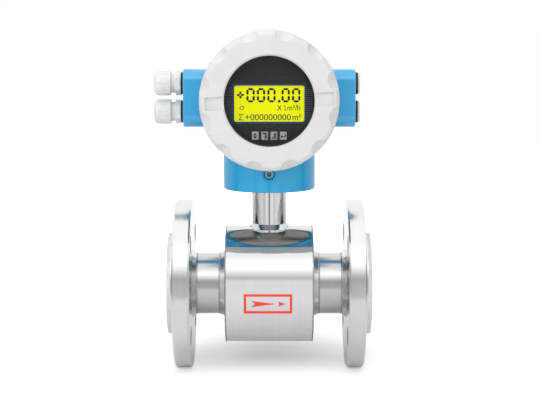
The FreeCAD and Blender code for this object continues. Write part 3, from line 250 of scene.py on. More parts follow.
class Nodes:
    """A shader's node tree, with short ways to add to it."""

    def __init__(self, tree):
        self.tree = tree

    def put(self, socket, value):
        """Links another node's output to a socket, or sets the socket's own value."""
        if isinstance(value, bpy.types.NodeSocket):
            self.tree.links.new(value, socket)
        else:
            socket.default_value = value

    def add(self, kind, inputs=(), out=0, **settings):
        """Adds a node, with its inputs set or linked, and gives one of its outputs."""
        made = self.tree.nodes.new("ShaderNode" + kind)
        for key, value in settings.items():
            setattr(made, key, value)
        for key, value in dict(inputs).items():
            self.put(made.inputs[key], value)
        return made.outputs[out]

    def math(self, operation, first, second=0.0):
        return self.add("Math", {0: first, 1: second}, operation=operation)

    def place(self):
        """Place on the piece in the part's frame, in metres."""
        return self.add("TexCoord", out=3)

    def parts(self, vector):
        """X, Y and Z of a vector."""
        return self.add("SeparateXYZ", {0: vector}).node.outputs

    def between(self, value, start, end, low=0.0, high=1.0):
        """Goes from low to high while a value goes from start to end."""
        return self.add("MapRange", {0: value, 1: start, 2: end, 3: low, 4: high})

    def noise(self, scale, where=None, detail=3.0, rough=0.5):
        return self.add("TexNoise", {"Vector": where or self.place(), "Scale": scale,
                                     "Detail": detail, "Roughness": rough})

    def ramp(self, factor, stops):
        """Greys along a ramp from places between 0 and 1."""
        made = self.add("ValToRGB", {0: factor}).node
        elements = made.color_ramp.elements
        while len(elements) < len(stops):
            elements.new(0.5)
        for element, (at, value) in zip(elements, stops):
            element.position = at
            element.color = (value, value, value, 1.0)
        return made.outputs[0]

    def mix(self, factor, first, second):
        """One colour fading into another."""
        made = self.tree.nodes.new("ShaderNodeMix")
        made.data_type = "RGBA"
        for index, value in ((0, factor), (6, first), (7, second)):
            if isinstance(value, tuple) and len(value) == 3:
                value = (*value, 1.0)
            self.put(made.inputs[index], value)
        return made.outputs[2]


def darker(colour, share):
    """A share of a colour's light."""
    return tuple(c * share for c in colour)


class Finish(Nodes):
    """A procedural material that is being put together."""

    # Metres of texture for each radian round the pipe's axis: tool marks run round, so hardly any.
    ROUND_STRETCH = 0.0008

    def __init__(self, name, colour, rough, metallic=0.0):
        self.material = bpy.data.materials.new(name)
        self.material.use_nodes = True
        super().__init__(self.material.node_tree)
        self.surface = self.tree.nodes["Principled BSDF"]
        self.set("Base Color", (*colour, 1.0))
        self.set("Roughness", rough)
        self.set("Metallic", metallic)
        self.material.diffuse_color = (*colour, 1.0)

    def set(self, socket, value):
        self.put(self.surface.inputs[socket], value)

    def turned(self):
        """Place on a piece turned about the X axis: along it, out from it and a little round it."""
        x, y, z = self.parts(self.place())
        square = self.math("ADD", self.math("MULTIPLY", y, y), self.math("MULTIPLY", z, z))
        out = self.math("SQRT", square)
        round_it = self.math("MULTIPLY", self.math("ARCTAN2", z, y), self.ROUND_STRETCH)
        return self.add("CombineXYZ", {0: x, 1: out, 2: round_it})

    def spread(self, noise, low, high):
        """A value between low and high that follows a noise, whose own values lie about a half."""
        return self.between(noise, 0.3, 0.7, low, high)

    def bump(self, height, depth):
        self.set("Normal", self.add("Bump", {"Height": height, "Distance": depth}))

    def coat(self, weight, rough):
        self.set("Coat Weight", weight)
        self.set("Coat Roughness", rough)

    def soil(self, colour, dark, scale):
        """Base colour with faint darker clouds."""
        clouds = self.between(self.noise(scale, detail=6.0), 0.35, 0.75)
        self.set("Base Color", self.mix(clouds, colour, dark))


def paint(name, colour, rough, grain, depth, coat=0.0, coat_rough=0.1, coat_index=1.5,
          thin_below=None):
    """Sprayed paint: hardly seen clouds and an orange-peel surface. Below the level thin_below, the
    clear coat thins to half."""
    made = Finish(name, colour, rough)
    made.soil(colour, darker(colour, 0.93), 40.0)
    made.set("Roughness", made.spread(made.noise(120.0), rough * 0.85, rough * 1.2))
    made.bump(made.noise(grain, detail=2.0), depth)
    if coat:
        made.coat(coat, coat_rough)
        made.set("Coat IOR", coat_index)
        made.set("Specular IOR Level", 0.1)
    if thin_below is not None:
        fade = 20 * MM
        height = made.parts(made.place())[2]
        made.set("Coat Weight", made.between(height, thin_below - fade, thin_below, coat / 2, coat))
    return made.material


def moulded(name, colour, rough, grain=2600.0, depth=0.03 * MM):
    """Moulded plastic or rubber with a fine eroded surface."""
    made = Finish(name, colour, rough)
    made.soil(colour, darker(colour, 0.86), 90.0)
    made.set("Roughness", made.spread(made.noise(300.0), rough * 0.85, rough * 1.15))
    made.bump(made.noise(grain, detail=4.0), depth)
    return made.material


def turned_metal(name, colour, rough, line, depth):
    """Metal turned or polished about the pipe's axis."""
    made = Finish(name, colour, rough, metallic=1.0)
    where = made.turned()
    lines = made.noise(line, where, detail=5.0, rough=0.6)
    made.set("Roughness", made.spread(lines, rough * 0.9, rough * 1.12))
    broad = made.spread(made.noise(line * 0.3, where), 0.0, 1.0)
    made.set("Base Color", made.mix(broad, colour, darker(colour, 0.96)))
    made.bump(lines, depth)
    return made.material


def casing_metal(name, mirror, satin):
    """The casing's skin: mirror polished on top beside the neck, brushed to a satin lower down."""
    made = Finish(name, mirror, 0.3, metallic=1.0)
    where = made.turned()
    lines = made.noise(2600.0, where, detail=3.0)
    satin_up_to, mirror_from = 11 * MM, 17 * MM
    top = made.between(made.parts(made.place())[2], satin_up_to, mirror_from)
    brushed = made.spread(lines, 0.36, 0.42)
    made.set("Roughness", made.add("Mix", {0: top, 2: brushed, 3: 0.05}))
    broad = made.spread(made.noise(500.0, where), 0.0, 1.0)
    tone = made.mix(broad, satin, darker(satin, 0.97))
    made.set("Base Color", made.mix(top, tone, mirror))
    made.bump(lines, 0.001 * MM)
    return made.material


def plain_metal(name, colour, rough, grain=900.0, depth=0.02 * MM):
    """Bright, milled or cast metal without a direction."""
    made = Finish(name, colour, rough, metallic=1.0)
    grains = made.noise(grain, detail=5.0, rough=0.6)
    made.set("Roughness", made.spread(grains, rough * 0.8, rough * 1.3))
    broad = made.spread(made.noise(60.0), 0.0, 1.0)
    made.set("Base Color", made.mix(broad, colour, darker(colour, 0.85)))
    made.bump(grains, depth)
    return made.material


def wound_copper(name):
    """Varnished magnet wire, turn beside turn, with painted shade in the grooves and painted
    highlight on the crowns.
    """
    made = Finish(name, (0.62, 0.24, 0.10), 0.3, metallic=1.0)
    wire = 0.6 * MM
    height = made.parts(made.place())[2]
    winding = made.math("SINE", made.math("MULTIPLY", height, 2 * math.pi / wire))
    # Painted shade and highlight: dark in the grooves between turns, lighter on the crowns.
    groove_shade, lit_crown = (0.36, 0.12, 0.05), (0.66, 0.27, 0.12)
    made.set("Base Color", made.mix(made.spread(winding, 0.0, 1.0), groove_shade, lit_crown))
    made.bump(winding, 0.1 * MM)
    made.coat(0.5, 0.15)
    return made.material


def window_pane(name):
    """Clear toughened glass: see-through, so that the display behind it reads plainly."""
    made = Finish(name, (0.02, 0.025, 0.025), 0.02)
    smears = made.noise(25.0, detail=4.0)
    made.set("Roughness", made.spread(smears, 0.015, 0.05))
    made.set("Alpha", 0.07)
    made.set("IOR", 1.5)
    made.bump(made.noise(8.0), 0.02 * MM)
    return made.material


def lit_panel(name, colour):
    """The display's lit panel with its faint grid of cells."""
    made = Finish(name, colour, 0.35)
    cells = 2 * math.pi / (0.5 * MM)
    across_place, _, down_place = made.parts(made.place())
    across = made.math("SINE", made.math("MULTIPLY", across_place, cells))
    down = made.math("SINE", made.math("MULTIPLY", down_place, cells))
    grid = made.math("MAXIMUM", across, down)
    lit = made.mix(made.spread(grid, 0.0, 0.05), colour, darker(colour, 0.8))
    made.set("Base Color", lit)
    made.set("Emission Color", lit)
    made.set("Emission Strength", 0.36)
    made.set("Specular IOR Level", 0.1)
    return made.material


def circuit_board(name):
    """Green solder resist with lighter tracks under it and fine weave."""
    resist, other, track = (0.01, 0.13, 0.045), (0.012, 0.16, 0.055), (0.03, 0.26, 0.10)
    made = Finish(name, resist, 0.35)
    cells = made.add("TexBrick", {"Vector": made.place(), "Scale": 160.0, "Color1": (*resist, 1.0),
                                  "Color2": (*other, 1.0), "Mortar": (*track, 1.0),
                                  "Mortar Size": 0.06})
    made.set("Base Color", cells)
    made.bump(made.noise(1800.0), 0.03 * MM)
    made.coat(0.4, 0.1)
    return made.material


def printed(name, colour, dark):
    """Dark print on the lit panel."""
    made = Finish(name, colour, 0.4)
    made.soil(colour, dark, 400.0)
    return made.material


def paints(tints):
    """Sprayed and printed colours."""
    return {
        "blue_paint": paint("Blue gloss paint", tuple(tints.blue), rough=0.42, grain=420.0,
                            depth=0.012 * MM, coat=1.0, coat_rough=0.12, coat_index=1.95,
                            thin_below=145 * MM),
        "white_paint": paint("White textured paint", tuple(tints.white), rough=0.42, grain=1400.0,
                             depth=0.06 * MM, coat=0.25, coat_rough=0.2),
        "red_paint": paint("Red marking paint", tuple(tints.red), rough=0.45, grain=900.0,
                           depth=0.04 * MM),
    }


def metals(tints):
    """Steels, brass, copper, iron and the capacitors' cans."""
    steel = tuple(tints.steel)
    flange = tuple(tints.flange)
    return {
        "polished_steel": turned_metal("Polished steel", steel, 0.08, 1200.0, 0.0003 * MM),
        "satin_steel": casing_metal("Satin casing steel", (0.70, 0.70, 0.695), tuple(tints.casing)),
        "machined_steel": turned_metal("Turned steel", steel, 0.2, 1500.0, 0.006 * MM),
        "flange_steel": turned_metal("Flange steel", flange, 0.17, 1500.0, 0.003 * MM),
        "plate_steel": plain_metal("Neck plate steel", (0.50, 0.49, 0.47), 0.28),
        "bead_steel": plain_metal("Weld steel", (0.44, 0.44, 0.435), 0.22, 700.0, 0.004 * MM),
        "dark_steel": plain_metal("Grey steel plate", (0.30, 0.31, 0.32), 0.32),
        "screw_steel": plain_metal("Screw steel", (0.55, 0.55, 0.55), 0.25),
        "electrode_steel": plain_metal("Electrode alloy", (0.62, 0.61, 0.59), 0.18),
        "soft_iron": plain_metal("Soft iron", (0.34, 0.33, 0.32), 0.45, 1600.0, 0.04 * MM),
        "can_aluminium": plain_metal("Capacitor can", (0.75, 0.75, 0.76), 0.3),
        "brass": plain_metal("Brass", (0.78, 0.56, 0.22), 0.3),
        "copper": wound_copper("Coil wire"),
    }


def plastics(tints):
    """Mouldings, rubbers, the window, the boards and the lit panel."""
    return {
        "ptfe": moulded("White liner", (0.83, 0.83, 0.81), 0.38, 900.0, 0.02 * MM),
        "black_rubber": moulded("Black rubber", (0.012, 0.012, 0.013), 0.55),
        "grey_rubber": moulded("Grey rubber", (0.10, 0.10, 0.105), 0.6),
        "nylon": moulded("Grey-white nylon", tuple(tints.nylon), 0.40, 3200.0, 0.02 * MM),
        "insulator_plastic": moulded("Insulating bush", (0.70, 0.66, 0.55), 0.45),
        "mask_plastic": moulded("Dark mask", tuple(tints.mask), 0.45, 2200.0),
        "navy_plastic": moulded("Navy frame", tuple(tints.frame_tint), 0.35),
        # Painted highlight: lighter navy for light caught on the rib edges.
        "rib_highlight": moulded("Rib highlights", (0.085, 0.13, 0.24), 0.4),
        "key_plastic": moulded("Key caps", tuple(tints.keys), 0.5),
        "black_plastic": moulded("Black plastic", (0.015, 0.015, 0.016), 0.4),
        "lead_jacket": moulded("Lead jacket", (0.06, 0.06, 0.065), 0.5),
        "glass": window_pane("Window glass"),
        "lcd_yellow": lit_panel("Lit display", tuple(tints.glow)),
        "board_green": circuit_board("Circuit board"),
    }


# Every finish by name: one for each material slot of the record, and those of this script alone.
FINISH = {}
# CAD pieces whose finish differs from their material slot's.
OWN_FINISH = {
    "sensor_shell": "satin_steel",
    "neck_plate": "plate_steel",
    "inlet_flange": "flange_steel",
    "outlet_flange": "flange_steel",
}


# ---------------------------------------------------------------- building blocks

def piece(name, mesh, slot, body=MAIN_BODY, finish=None):
    """A finished piece of the object from a mesh in the part's frame."""
    made = bpy.data.objects.new(name, mesh)
    bpy.context.scene.collection.objects.link(made)
    made.data.materials.append(FINISH[finish or slot])
    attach(made, body)


def mesh_of(name, points, faces, smooth=True):
    """A mesh from its points and faces."""
    mesh = bpy.data.meshes.new(name)
    mesh.from_pydata([tuple(p) for p in points], [], faces)
    face_outward(mesh)
    for polygon in mesh.polygons:
        polygon.use_smooth = smooth
    mesh.update()
    return mesh


def face_outward(mesh):
    """Turns a mesh's faces outward."""
    work = bmesh.new()
    work.from_mesh(mesh)
    bmesh.ops.recalc_face_normals(work, faces=work.faces)
    work.to_mesh(mesh)
    work.free()


def swept(name, sections, closed_run, smooth=True):
    """A skin through equal closed sections, joined up at the end or capped there."""
    size = len(sections[0])
    points = [p for section in sections for p in section]
    steps = len(sections) if closed_run else len(sections) - 1
    faces = []
    for step in range(steps):
        here = step * size
        there = (step + 1) % len(sections) * size
        for k in range(size):
            after = (k + 1) % size
            faces.append((here + k, here + after, there + after, there + k))
    if not closed_run:
        faces.append(tuple(range(size)))
        faces.append(tuple(len(points) - size + k for k in range(size)))
    return mesh_of(name, points, faces, smooth)


def plate(outline, y_back, y_front, name="plate"):
    """A flat piece with an outline in X and Z, between two places along Y."""
    sections = [[(x, y, z) for x, z in outline] for y in (y_back, y_front)]
    return swept(name, sections, closed_run=False, smooth=False)


def joined(name, meshes):
    """Several meshes as one."""
    work = bmesh.new()
    for mesh in meshes:
        work.from_mesh(mesh)
        bpy.data.meshes.remove(mesh)
    result = bpy.data.meshes.new(name)
    work.to_mesh(result)
    work.free()
    return result


def turns(count_all):
    """Equal steps once round, in radians."""
    return [2 * math.pi * k / count_all for k in range(count_all)]


def about(axis, centre, along, out, angle):
    """The place at a distance and an angle from an axis, 0 for X and 1 for Y, through a centre."""
    across, up = centre[0] + out * math.cos(angle), centre[1] + out * math.sin(angle)
    return (along, across, up) if axis == 0 else (across, along, up)


def ring_mesh(name, centre, profile, steps=96, axis=1):
    """A ring round an axis from a closed profile of distances from it and places along it."""
    sections = [[about(axis, centre, along, out, angle) for out, along in profile]
                for angle in turns(steps)]
    return swept(name, sections, closed_run=True)


def round_profile(out, along, radius):
    """A small round profile for a ring."""
    return [(out + radius * math.cos(t), along + radius * math.sin(t)) for t in turns(12)]


def square_profile(inner, outer, low, high):
    """A rectangular profile for a ring."""
    return [(inner, low), (outer, low), (outer, high), (inner, high)]


def thread_mesh(name, centre, axis, along, start, run, radius, height, pitch, phase=0.0):
    """A right-handed ridge wound round an axis. along is the way it goes: +1 or -1 on the axis."""
    per_turn = 40
    fade_turns = 1 / 3
    sunk = 0.4
    foot, lit_crown = 0.42, 0.10
    steps = int(run / pitch * per_turn)
    hand = along if axis == 0 else -along
    sections = []
    for step in range(steps + 1):
        turn = step / per_turn
        left = (steps - step) / per_turn
        fade = min(1.0, turn / fade_turns, left / fade_turns)
        at = start + along * turn * pitch
        crest = radius + height * fade
        root = radius - sunk * abs(height)
        swing = hand * (2 * math.pi * turn + phase)
        profile = ((root, -foot), (crest, -lit_crown), (crest, lit_crown), (root, foot))
        sections.append([about(axis, centre, at + shift * pitch, out, swing)
                         for out, shift in profile])
    return swept(name, sections, closed_run=False)


def bead_mesh(name, path, lift, side, sizes):
    """A weld bead along a closed path: its places, the way up at each, and the way across."""
    arc_steps = 8
    ripple_share = 0.08
    sunk = 0.25
    total = sum((path[k] - path[k - 1]).length for k in range(len(path)))
    waves = round(total / sizes.ripple)
    width, height = sizes.bead_width, sizes.bead_height
    sections = []
    for k, place in enumerate(path):
        wave = (k / len(path) * waves) % 1.0
        rise = height * (1 - ripple_share + ripple_share * math.sin(math.pi * wave))
        section = []
        for j in range(arc_steps + 1):
            angle = math.pi * j / arc_steps
            section.append(place + side[k] * (width / 2 * math.cos(angle))
                           + lift[k] * (rise * math.sin(angle) - sunk * height))
        sections.append(section)
    return swept(name, sections, closed_run=True)


def chamfered(x, z, wide, tall, cut):
    """Outline of a rectangle about a centre with its corners cut."""
    w, h = wide / 2, tall / 2
    return [(x - w + cut, z - h), (x + w - cut, z - h), (x + w, z - h + cut), (x + w, z + h - cut),
            (x + w - cut, z + h), (x - w + cut, z + h), (x - w, z + h - cut), (x - w, z - h + cut)]


def stroke(ends, width, taper):
    """Outline of a bar between two places, with pointed ends."""
    (x0, z0), (x1, z1) = ends
    run = math.hypot(x1 - x0, z1 - z0)
    ux, uz = (x1 - x0) / run, (z1 - z0) / run
    h = width / 2
    corners = ((0, 0), (taper, h), (run - taper, h), (run, 0), (run - taper, -h), (taper, -h))
    return [(x0 + ux * along - uz * out, z0 + uz * along + ux * out) for along, out in corners]


def text_mesh(name, text, left, foot, tall, y, wide=0.0, bold=0.0):
    """Flat letters of a set height, and of a set width if one is given, facing the front."""
    curve = bpy.data.curves.new(name, "FONT")
    curve.body = text
    curve.offset = bold
    holder = bpy.data.objects.new(name, curve)
    bpy.context.scene.collection.objects.link(holder)
    bpy.context.view_layer.update()
    flat = bpy.data.meshes.new_from_object(holder)
    bpy.data.objects.remove(holder)
    xs = [v.co.x for v in flat.vertices]
    zs = [v.co.y for v in flat.vertices]
    up = tall / (max(zs) - min(zs))
    across = wide / (max(xs) - min(xs)) if wide else up
    for v in flat.vertices:
        v.co = (left + (v.co.x - min(xs)) * across, y, foot + (v.co.y - min(zs)) * up)
    face_outward(flat)
    flat.materials.clear()
    return flat


# ---------------------------------------------------------------- finishes on the CAD pieces

def dress_cad():
    """Puts the detailed finishes on every CAD node."""
    slots = {part["node"]: part["material_slot"] for part in frame["record"]["subparts"]}
    for name, node in frame["nodes"].items():
        node.data.materials.clear()
        node.data.materials.append(FINISH[OWN_FINISH.get(name, slots[name])])


# ---------------------------------------------------------------- welds

def ring_path(x, radius, points):
    """A ring round the pipe's axis with its ways up and across."""
    path, lift, side = [], [], []
    for angle in turns(points):
        out = Vector((0.0, math.cos(angle), math.sin(angle)))
        path.append(Vector((x, 0.0, 0.0)) + out * radius)
        lift.append(out)
        side.append(Vector((1.0, 0.0, 0.0)))
    return path, lift, side


def saddle_path(neck, shell, points):
    """Where an upright tube of radius neck meets the shell of radius shell."""
    path, lift, side = [], [], []
    for angle in turns(points):
        x, y = neck * math.cos(angle), neck * math.sin(angle)
        height = math.sqrt(shell ** 2 - y ** 2)
        outward = Vector((math.cos(angle), math.sin(angle), 0.0))
        shell_up = Vector((0.0, y, height)).normalized()
        way_up = (shell_up + outward).normalized()
        along = Vector((-math.sin(angle), math.cos(angle), -y * math.cos(angle) / height))
        path.append(Vector((x, y, height)))
        lift.append(way_up)
        side.append(way_up.cross(along.normalized()).normalized())
    return path, lift, side


def weld_pieces(sizes):
    """Beads at the flange hubs, the end caps and the neck, and the seams at the casing's ends."""
    def weld(name, mesh):
        piece(name, mesh, "polished_steel", finish="bead_steel")

    ring_points, saddle_points, seam_steps = 720, 480, 180
    tube = half("measuring_tube", 2)
    shell = half("sensor_shell", 2)
    for end, sign in (("inlet", -1), ("outlet", 1)):
        hub = min(abs(v) for v in span(f"{end}_flange", 0))
        cap = max(abs(v) for v in span(f"{end}_end_cap", 0))
        for name, place in ((f"{end}_hub_weld", hub), (f"{end}_cap_weld", cap)):
            weld(name, bead_mesh(name, *ring_path(sign * place, tube, ring_points), sizes))
        edge = sign * (half("sensor_shell", 0) - sizes.seam_inset)
        section = round_profile(shell - sizes.seam_sink, edge, sizes.seam_round)
        name = f"{end}_casing_seam"
        weld(name, ring_mesh(name, (0.0, 0.0), section, seam_steps, axis=0))
    saddle = saddle_path(half("neck_tube", 0), shell, saddle_points)
    weld("neck_weld", bead_mesh("neck_weld", *saddle, sizes))


# ---------------------------------------------------------------- threads

def cover_threads(sizes):
    """Ridges on the covers' spigots and in the barrel's mouths."""
    for cover, sign in (("front", -1), ("rear", 1)):
        spigot_end = min(abs(v) for v in span(f"{cover}_cover", 1))
        ridge = {"centre": BARREL_AXIS, "axis": 1, "along": sign,
                 "start": sign * (spigot_end + sizes.cover_start), "run": sizes.cover_run,
                 "pitch": sizes.cover_pitch}
        name = f"{cover}_cover_thread"
        mesh = thread_mesh(name, radius=sizes.spigot, height=sizes.thread_height, **ridge)
        piece(name, mesh, "white_paint", f"{cover}_cover_set")
        name = f"{cover}_mouth_thread"
        mesh = thread_mesh(name, radius=sizes.mouth, height=-sizes.thread_height, phase=math.pi,
                           **ridge)
        piece(name, mesh, "blue_paint")


def entry_threads(sizes):
    """Ridges on the gland bodies' necks and on the plugs' shanks."""
    for level in ("upper", "lower"):
        centre = (0.0, middle(f"{level}_gland_nut", 2))
        name = f"{level}_gland_thread"
        start = span(f"{level}_gland_body", 0)[0] + sizes.neck_start
        mesh = thread_mesh(name, centre, 0, -1, start, sizes.neck_run, sizes.neck_radius,
                           sizes.thread_height, sizes.entry_pitch)
        piece(name, mesh, "nylon")
        name = f"{level}_plug_thread"
        start = span(f"{level}_plug", 0)[0] + sizes.shank_start
        mesh = thread_mesh(name, centre, 0, 1, start, sizes.shank_run, sizes.shank_radius,
                           sizes.shank_height, sizes.entry_pitch)
        piece(name, mesh, "nylon", f"{level}_plug_set")


# ---------------------------------------------------------------- trim

def earth_screw_trim(sizes):
    """Paint over the earth screw's head, the shade in its socket and its boss's rounded rim."""
    film = sizes.film
    screw_face = span("earth_screw", 1)[0]
    centre = (middle("earth_screw", 0), middle("earth_screw", 2))
    outer, face = half("earth_screw", 0) + film, screw_face - film
    opening, edge = sizes.socket_opening, sizes.head_round
    skirt = face + sizes.head_skirt
    skin = 2 * film
    profile = [(opening, face), (outer - edge, face), (outer, face + edge), (outer, skirt),
               (outer - skin, skirt), (outer - skin, face + sizes.edge_inside),
               (opening, face + skin)]
    piece("earth_screw_paint", ring_mesh("earth_screw_paint", centre, profile), "blue_paint")
    deep = face + sizes.shade_deep
    socket = square_profile(sizes.shade_inner, sizes.shade_outer, deep, deep + sizes.shade_thick)
    piece("earth_screw_socket_shade", ring_mesh("earth_screw_socket_shade", centre, socket),
          "dark_steel", finish="black_plastic")
    boss = round_profile(sizes.boss_radius, screw_face + sizes.boss_back, sizes.boss_round)
    piece("earth_boss_rim", ring_mesh("earth_boss_rim", centre, boss), "blue_paint")


def window_border_and_shade(sizes):
    """Black border on the back of the window: partly print, partly painted shade of the deep rim.
    """
    glass_back = span("window_glass", 1)[1]
    border = square_profile(sizes.border_inner, sizes.border_outer, glass_back + sizes.film,
                            glass_back + 3 * sizes.film)
    # Painted shade: the black ring also darkens the gap behind the window's rim.
    piece("window_border_and_shade", ring_mesh("window_border_and_shade", BARREL_AXIS, border, 160), "black_plastic",
          "front_cover_set")


def mask_rib_highlights(sizes):
    """Painted highlights: lighter front edges on the ribs beside the display, for the light they
    catch.
    """
    face = span("display_mask", 1)[0]
    bars = []
    for side in (-1, 1):
        start = side * sizes.rib_start
        for k in range(sizes.ribs):
            level = sizes.rib_lowest + k * sizes.rib_pitch
            end = side * max(sizes.rib_start + sizes.rib_least,
                             math.sqrt(sizes.rib_reach ** 2 - level ** 2))
            low = HEAD_HEIGHT + level - sizes.rib_half
            high = HEAD_HEIGHT + level + sizes.rib_half
            outline = [(start, low), (end, low), (end, high), (start, high)]
            bars.append(plate(outline, face, face - 2 * sizes.film))
    piece("mask_rib_highlights", joined("mask_rib_highlights", bars), "navy_plastic", finish="rib_highlight")


# ---------------------------------------------------------------- boards and terminals

# Chips in millimetres: place from the board's middle, width, height and thickness.
CHIPS = (
    (-8, 25, 15, 9, 2.2),
    (11, 26, 8, 6, 1.6),
    (-5, -27, 11, 11, 1.8),
    (12, -28, 8, 5, 1.5),
    (36, 8, 6, 9, 1.6),
    (-39, -6, 6, 9, 1.6),
)
# Small board parts in millimetres: width, height, cut corner and how far they stand off the board.
CHIP_LEAD = (0.45, 1.4, 0.05, 0.7)
RESISTOR_CAPS = (2.6, 1.3, 0.1, 0.5)
RESISTOR_BODY = (1.7, 1.4, 0.1, 0.6)
BOARD_PLUG = (22, 5, 0.6, 6.5)
# Places in millimetres: the plug's middle, the first resistor and the levels of their two rows.
BOARD_PLUG_PLACE = (-2, -17.5)
FIRST_RESISTOR = -33
RESISTOR_LEVELS = (35, -38)


def board_part(x, z, size_mm, name="part"):
    """A small part on the main board's face, about a place in metres from the part's frame."""
    face = span("main_board", 1)[0]
    wide, tall, cut, thick = (value * MM for value in size_mm)
    return plate(chamfered(x, z, wide, tall, cut), face, face - thick, name)


def chips_and_leads(sizes):
    """Meshes of the main board's chips and of their leads."""
    back = span("main_board", 1)[0] - sizes.chip_lift
    chips, leads = [], []
    for chip in CHIPS:
        x, z, wide, tall, thick = (value * MM for value in chip)
        z += HEAD_HEIGHT
        chips.append(plate(chamfered(x, z, wide, tall, sizes.chip_corner), back, back - thick))
        number = int(wide / sizes.lead_pitch)
        for k in range(number):
            at = x + (k - (number - 1) / 2) * sizes.lead_pitch
            for side in (-1, 1):
                foot = z + side * (tall / 2 + sizes.lead_reach)
                leads.append(board_part(at, foot, CHIP_LEAD))
    return chips, leads


def board_pieces(sizes):
    """Chips with their leads, small resistors and a plug on the main board."""
    chips, leads = chips_and_leads(sizes)
    resistors = []
    in_row = (sizes.resistors + 1) // 2
    for k in range(sizes.resistors):
        row, place = divmod(k, in_row)
        x = FIRST_RESISTOR * MM + place * sizes.resistor_pitch
        z = HEAD_HEIGHT + RESISTOR_LEVELS[row] * MM
        leads.append(board_part(x, z, RESISTOR_CAPS))
        resistors.append(board_part(x, z, RESISTOR_BODY))
    plug_x, plug_up = (value * MM for value in BOARD_PLUG_PLACE)
    plug = board_part(plug_x, HEAD_HEIGHT + plug_up, BOARD_PLUG, "board_plug")
    piece("board_chips", joined("board_chips", chips), "black_plastic")
    piece("board_leads", joined("board_leads", leads), "screw_steel")
    piece("board_resistors", joined("board_resistors", resistors), "black_plastic")
    piece("board_plug", plug, "insulator_plastic")


def terminal_numbers(sizes):
    """Figures printed over the terminals, read from behind the meter."""
    face = span("terminal_block", 1)[1] + sizes.number_film
    foot = span("terminal_block", 2)[0] + sizes.number_foot
    numbers = []
    for k in range(sizes.terminals):
        text = str(k + 1)
        wide = sizes.number_width * len(text)
        at = (k - (sizes.terminals - 1) / 2) * sizes.terminal_pitch
        number = text_mesh("number", text, at - wide / 2, foot, sizes.number_height, face, wide)
        for v in number.vertices:
            v.co.x = -v.co.x
        number.flip_normals()
        numbers.append(number)
    piece("terminal_numbers", joined("terminal_numbers", numbers), "insulator_plastic",
          finish="key_plastic")


# ---------------------------------------------------------------- readout

CUBIC_METRES = "m\u00b3"


def zero_strokes(left, foot, sizes):
    """Outlines of the six segments of a large nought."""
    width, gap = sizes.digit_stroke, sizes.digit_gap
    top, waist = foot + sizes.digit_height, foot + sizes.digit_height / 2
    right = left + sizes.digit_width
    w = width / 2
    lines = []
    for z in (foot + w, top - w):
        lines.append(((left + w + gap, z), (right - w - gap, z)))
    for x in (left + w, right - w):
        lines.append(((x, foot + w + gap), (x, waist - gap)))
        lines.append(((x, waist + gap), (x, top - w - gap)))
    return [stroke(line, width, w) for line in lines]


def value_outlines(left, base, sizes):
    """Outlines of the large row: noughts, the decimal point and the sign before them."""
    outlines = []
    foot = base + sizes.value_foot
    first = left + sizes.value_left
    for k in range(sizes.zeros_before + sizes.zeros_after):
        room = sizes.point_room if k >= sizes.zeros_before else 0.0
        outlines += zero_strokes(first + k * sizes.digit_pitch + room, foot, sizes)
    point = first + sizes.zeros_before * sizes.digit_pitch + sizes.point_place
    dot = sizes.point_width
    outlines.append([(point, foot), (point + dot, foot), (point + dot, foot + dot),
                     (point, foot + dot)])
    x, z = left + sizes.sign_across, base + sizes.sign_up
    inner, outer = sizes.sign_hole, sizes.sign_reach
    for ux, uz in ((1, 0), (-1, 0), (0, 1), (0, -1)):
        ends = ((x + ux * inner, z + uz * inner), (x + ux * outer, z + uz * outer))
        outlines.append(stroke(ends, sizes.sign_stroke, sizes.sign_point))
    return outlines


def one_lines(x, foot, pen):
    """Lines of a drawn 1: its stem, flag and foot."""
    tall, flag_drop, flag_out, foot_half = 4.6 * MM, 1.0 * MM, 1.1 * MM, 0.9 * MM
    flag_top = tall - 0.1 * MM
    return [((x, foot), (x, foot + tall)),
            ((x - flag_out, foot + tall - flag_drop), (x, foot + flag_top)),
            ((x - foot_half, foot + pen / 2), (x + foot_half, foot + pen / 2))]


def sum_lines(x, foot, pen):
    """Lines of a drawn sum sign."""
    wide, tall = 4.6 * MM, 5.6 * MM
    low, waist, high = foot + pen / 2, foot + tall / 2, foot + tall - pen / 2
    notch = x + 0.55 * wide
    return [((x, high), (x + wide, high)), ((x, low), (x + wide, low)),
            ((x + pen / 2, high), (notch, waist)), ((notch, waist), (x + pen / 2, low))]


def loop_lines(x, z):
    """Lines of the small four-cornered mark before the unit."""
    corners = [(x + across * MM, z + up * MM)
               for across, up in ((5.0, -4.7), (6.6, -2.2), (9.2, -2.8), (7.8, -5.8))]
    return [(corners[k - 1], corners[k]) for k in range(len(corners))]


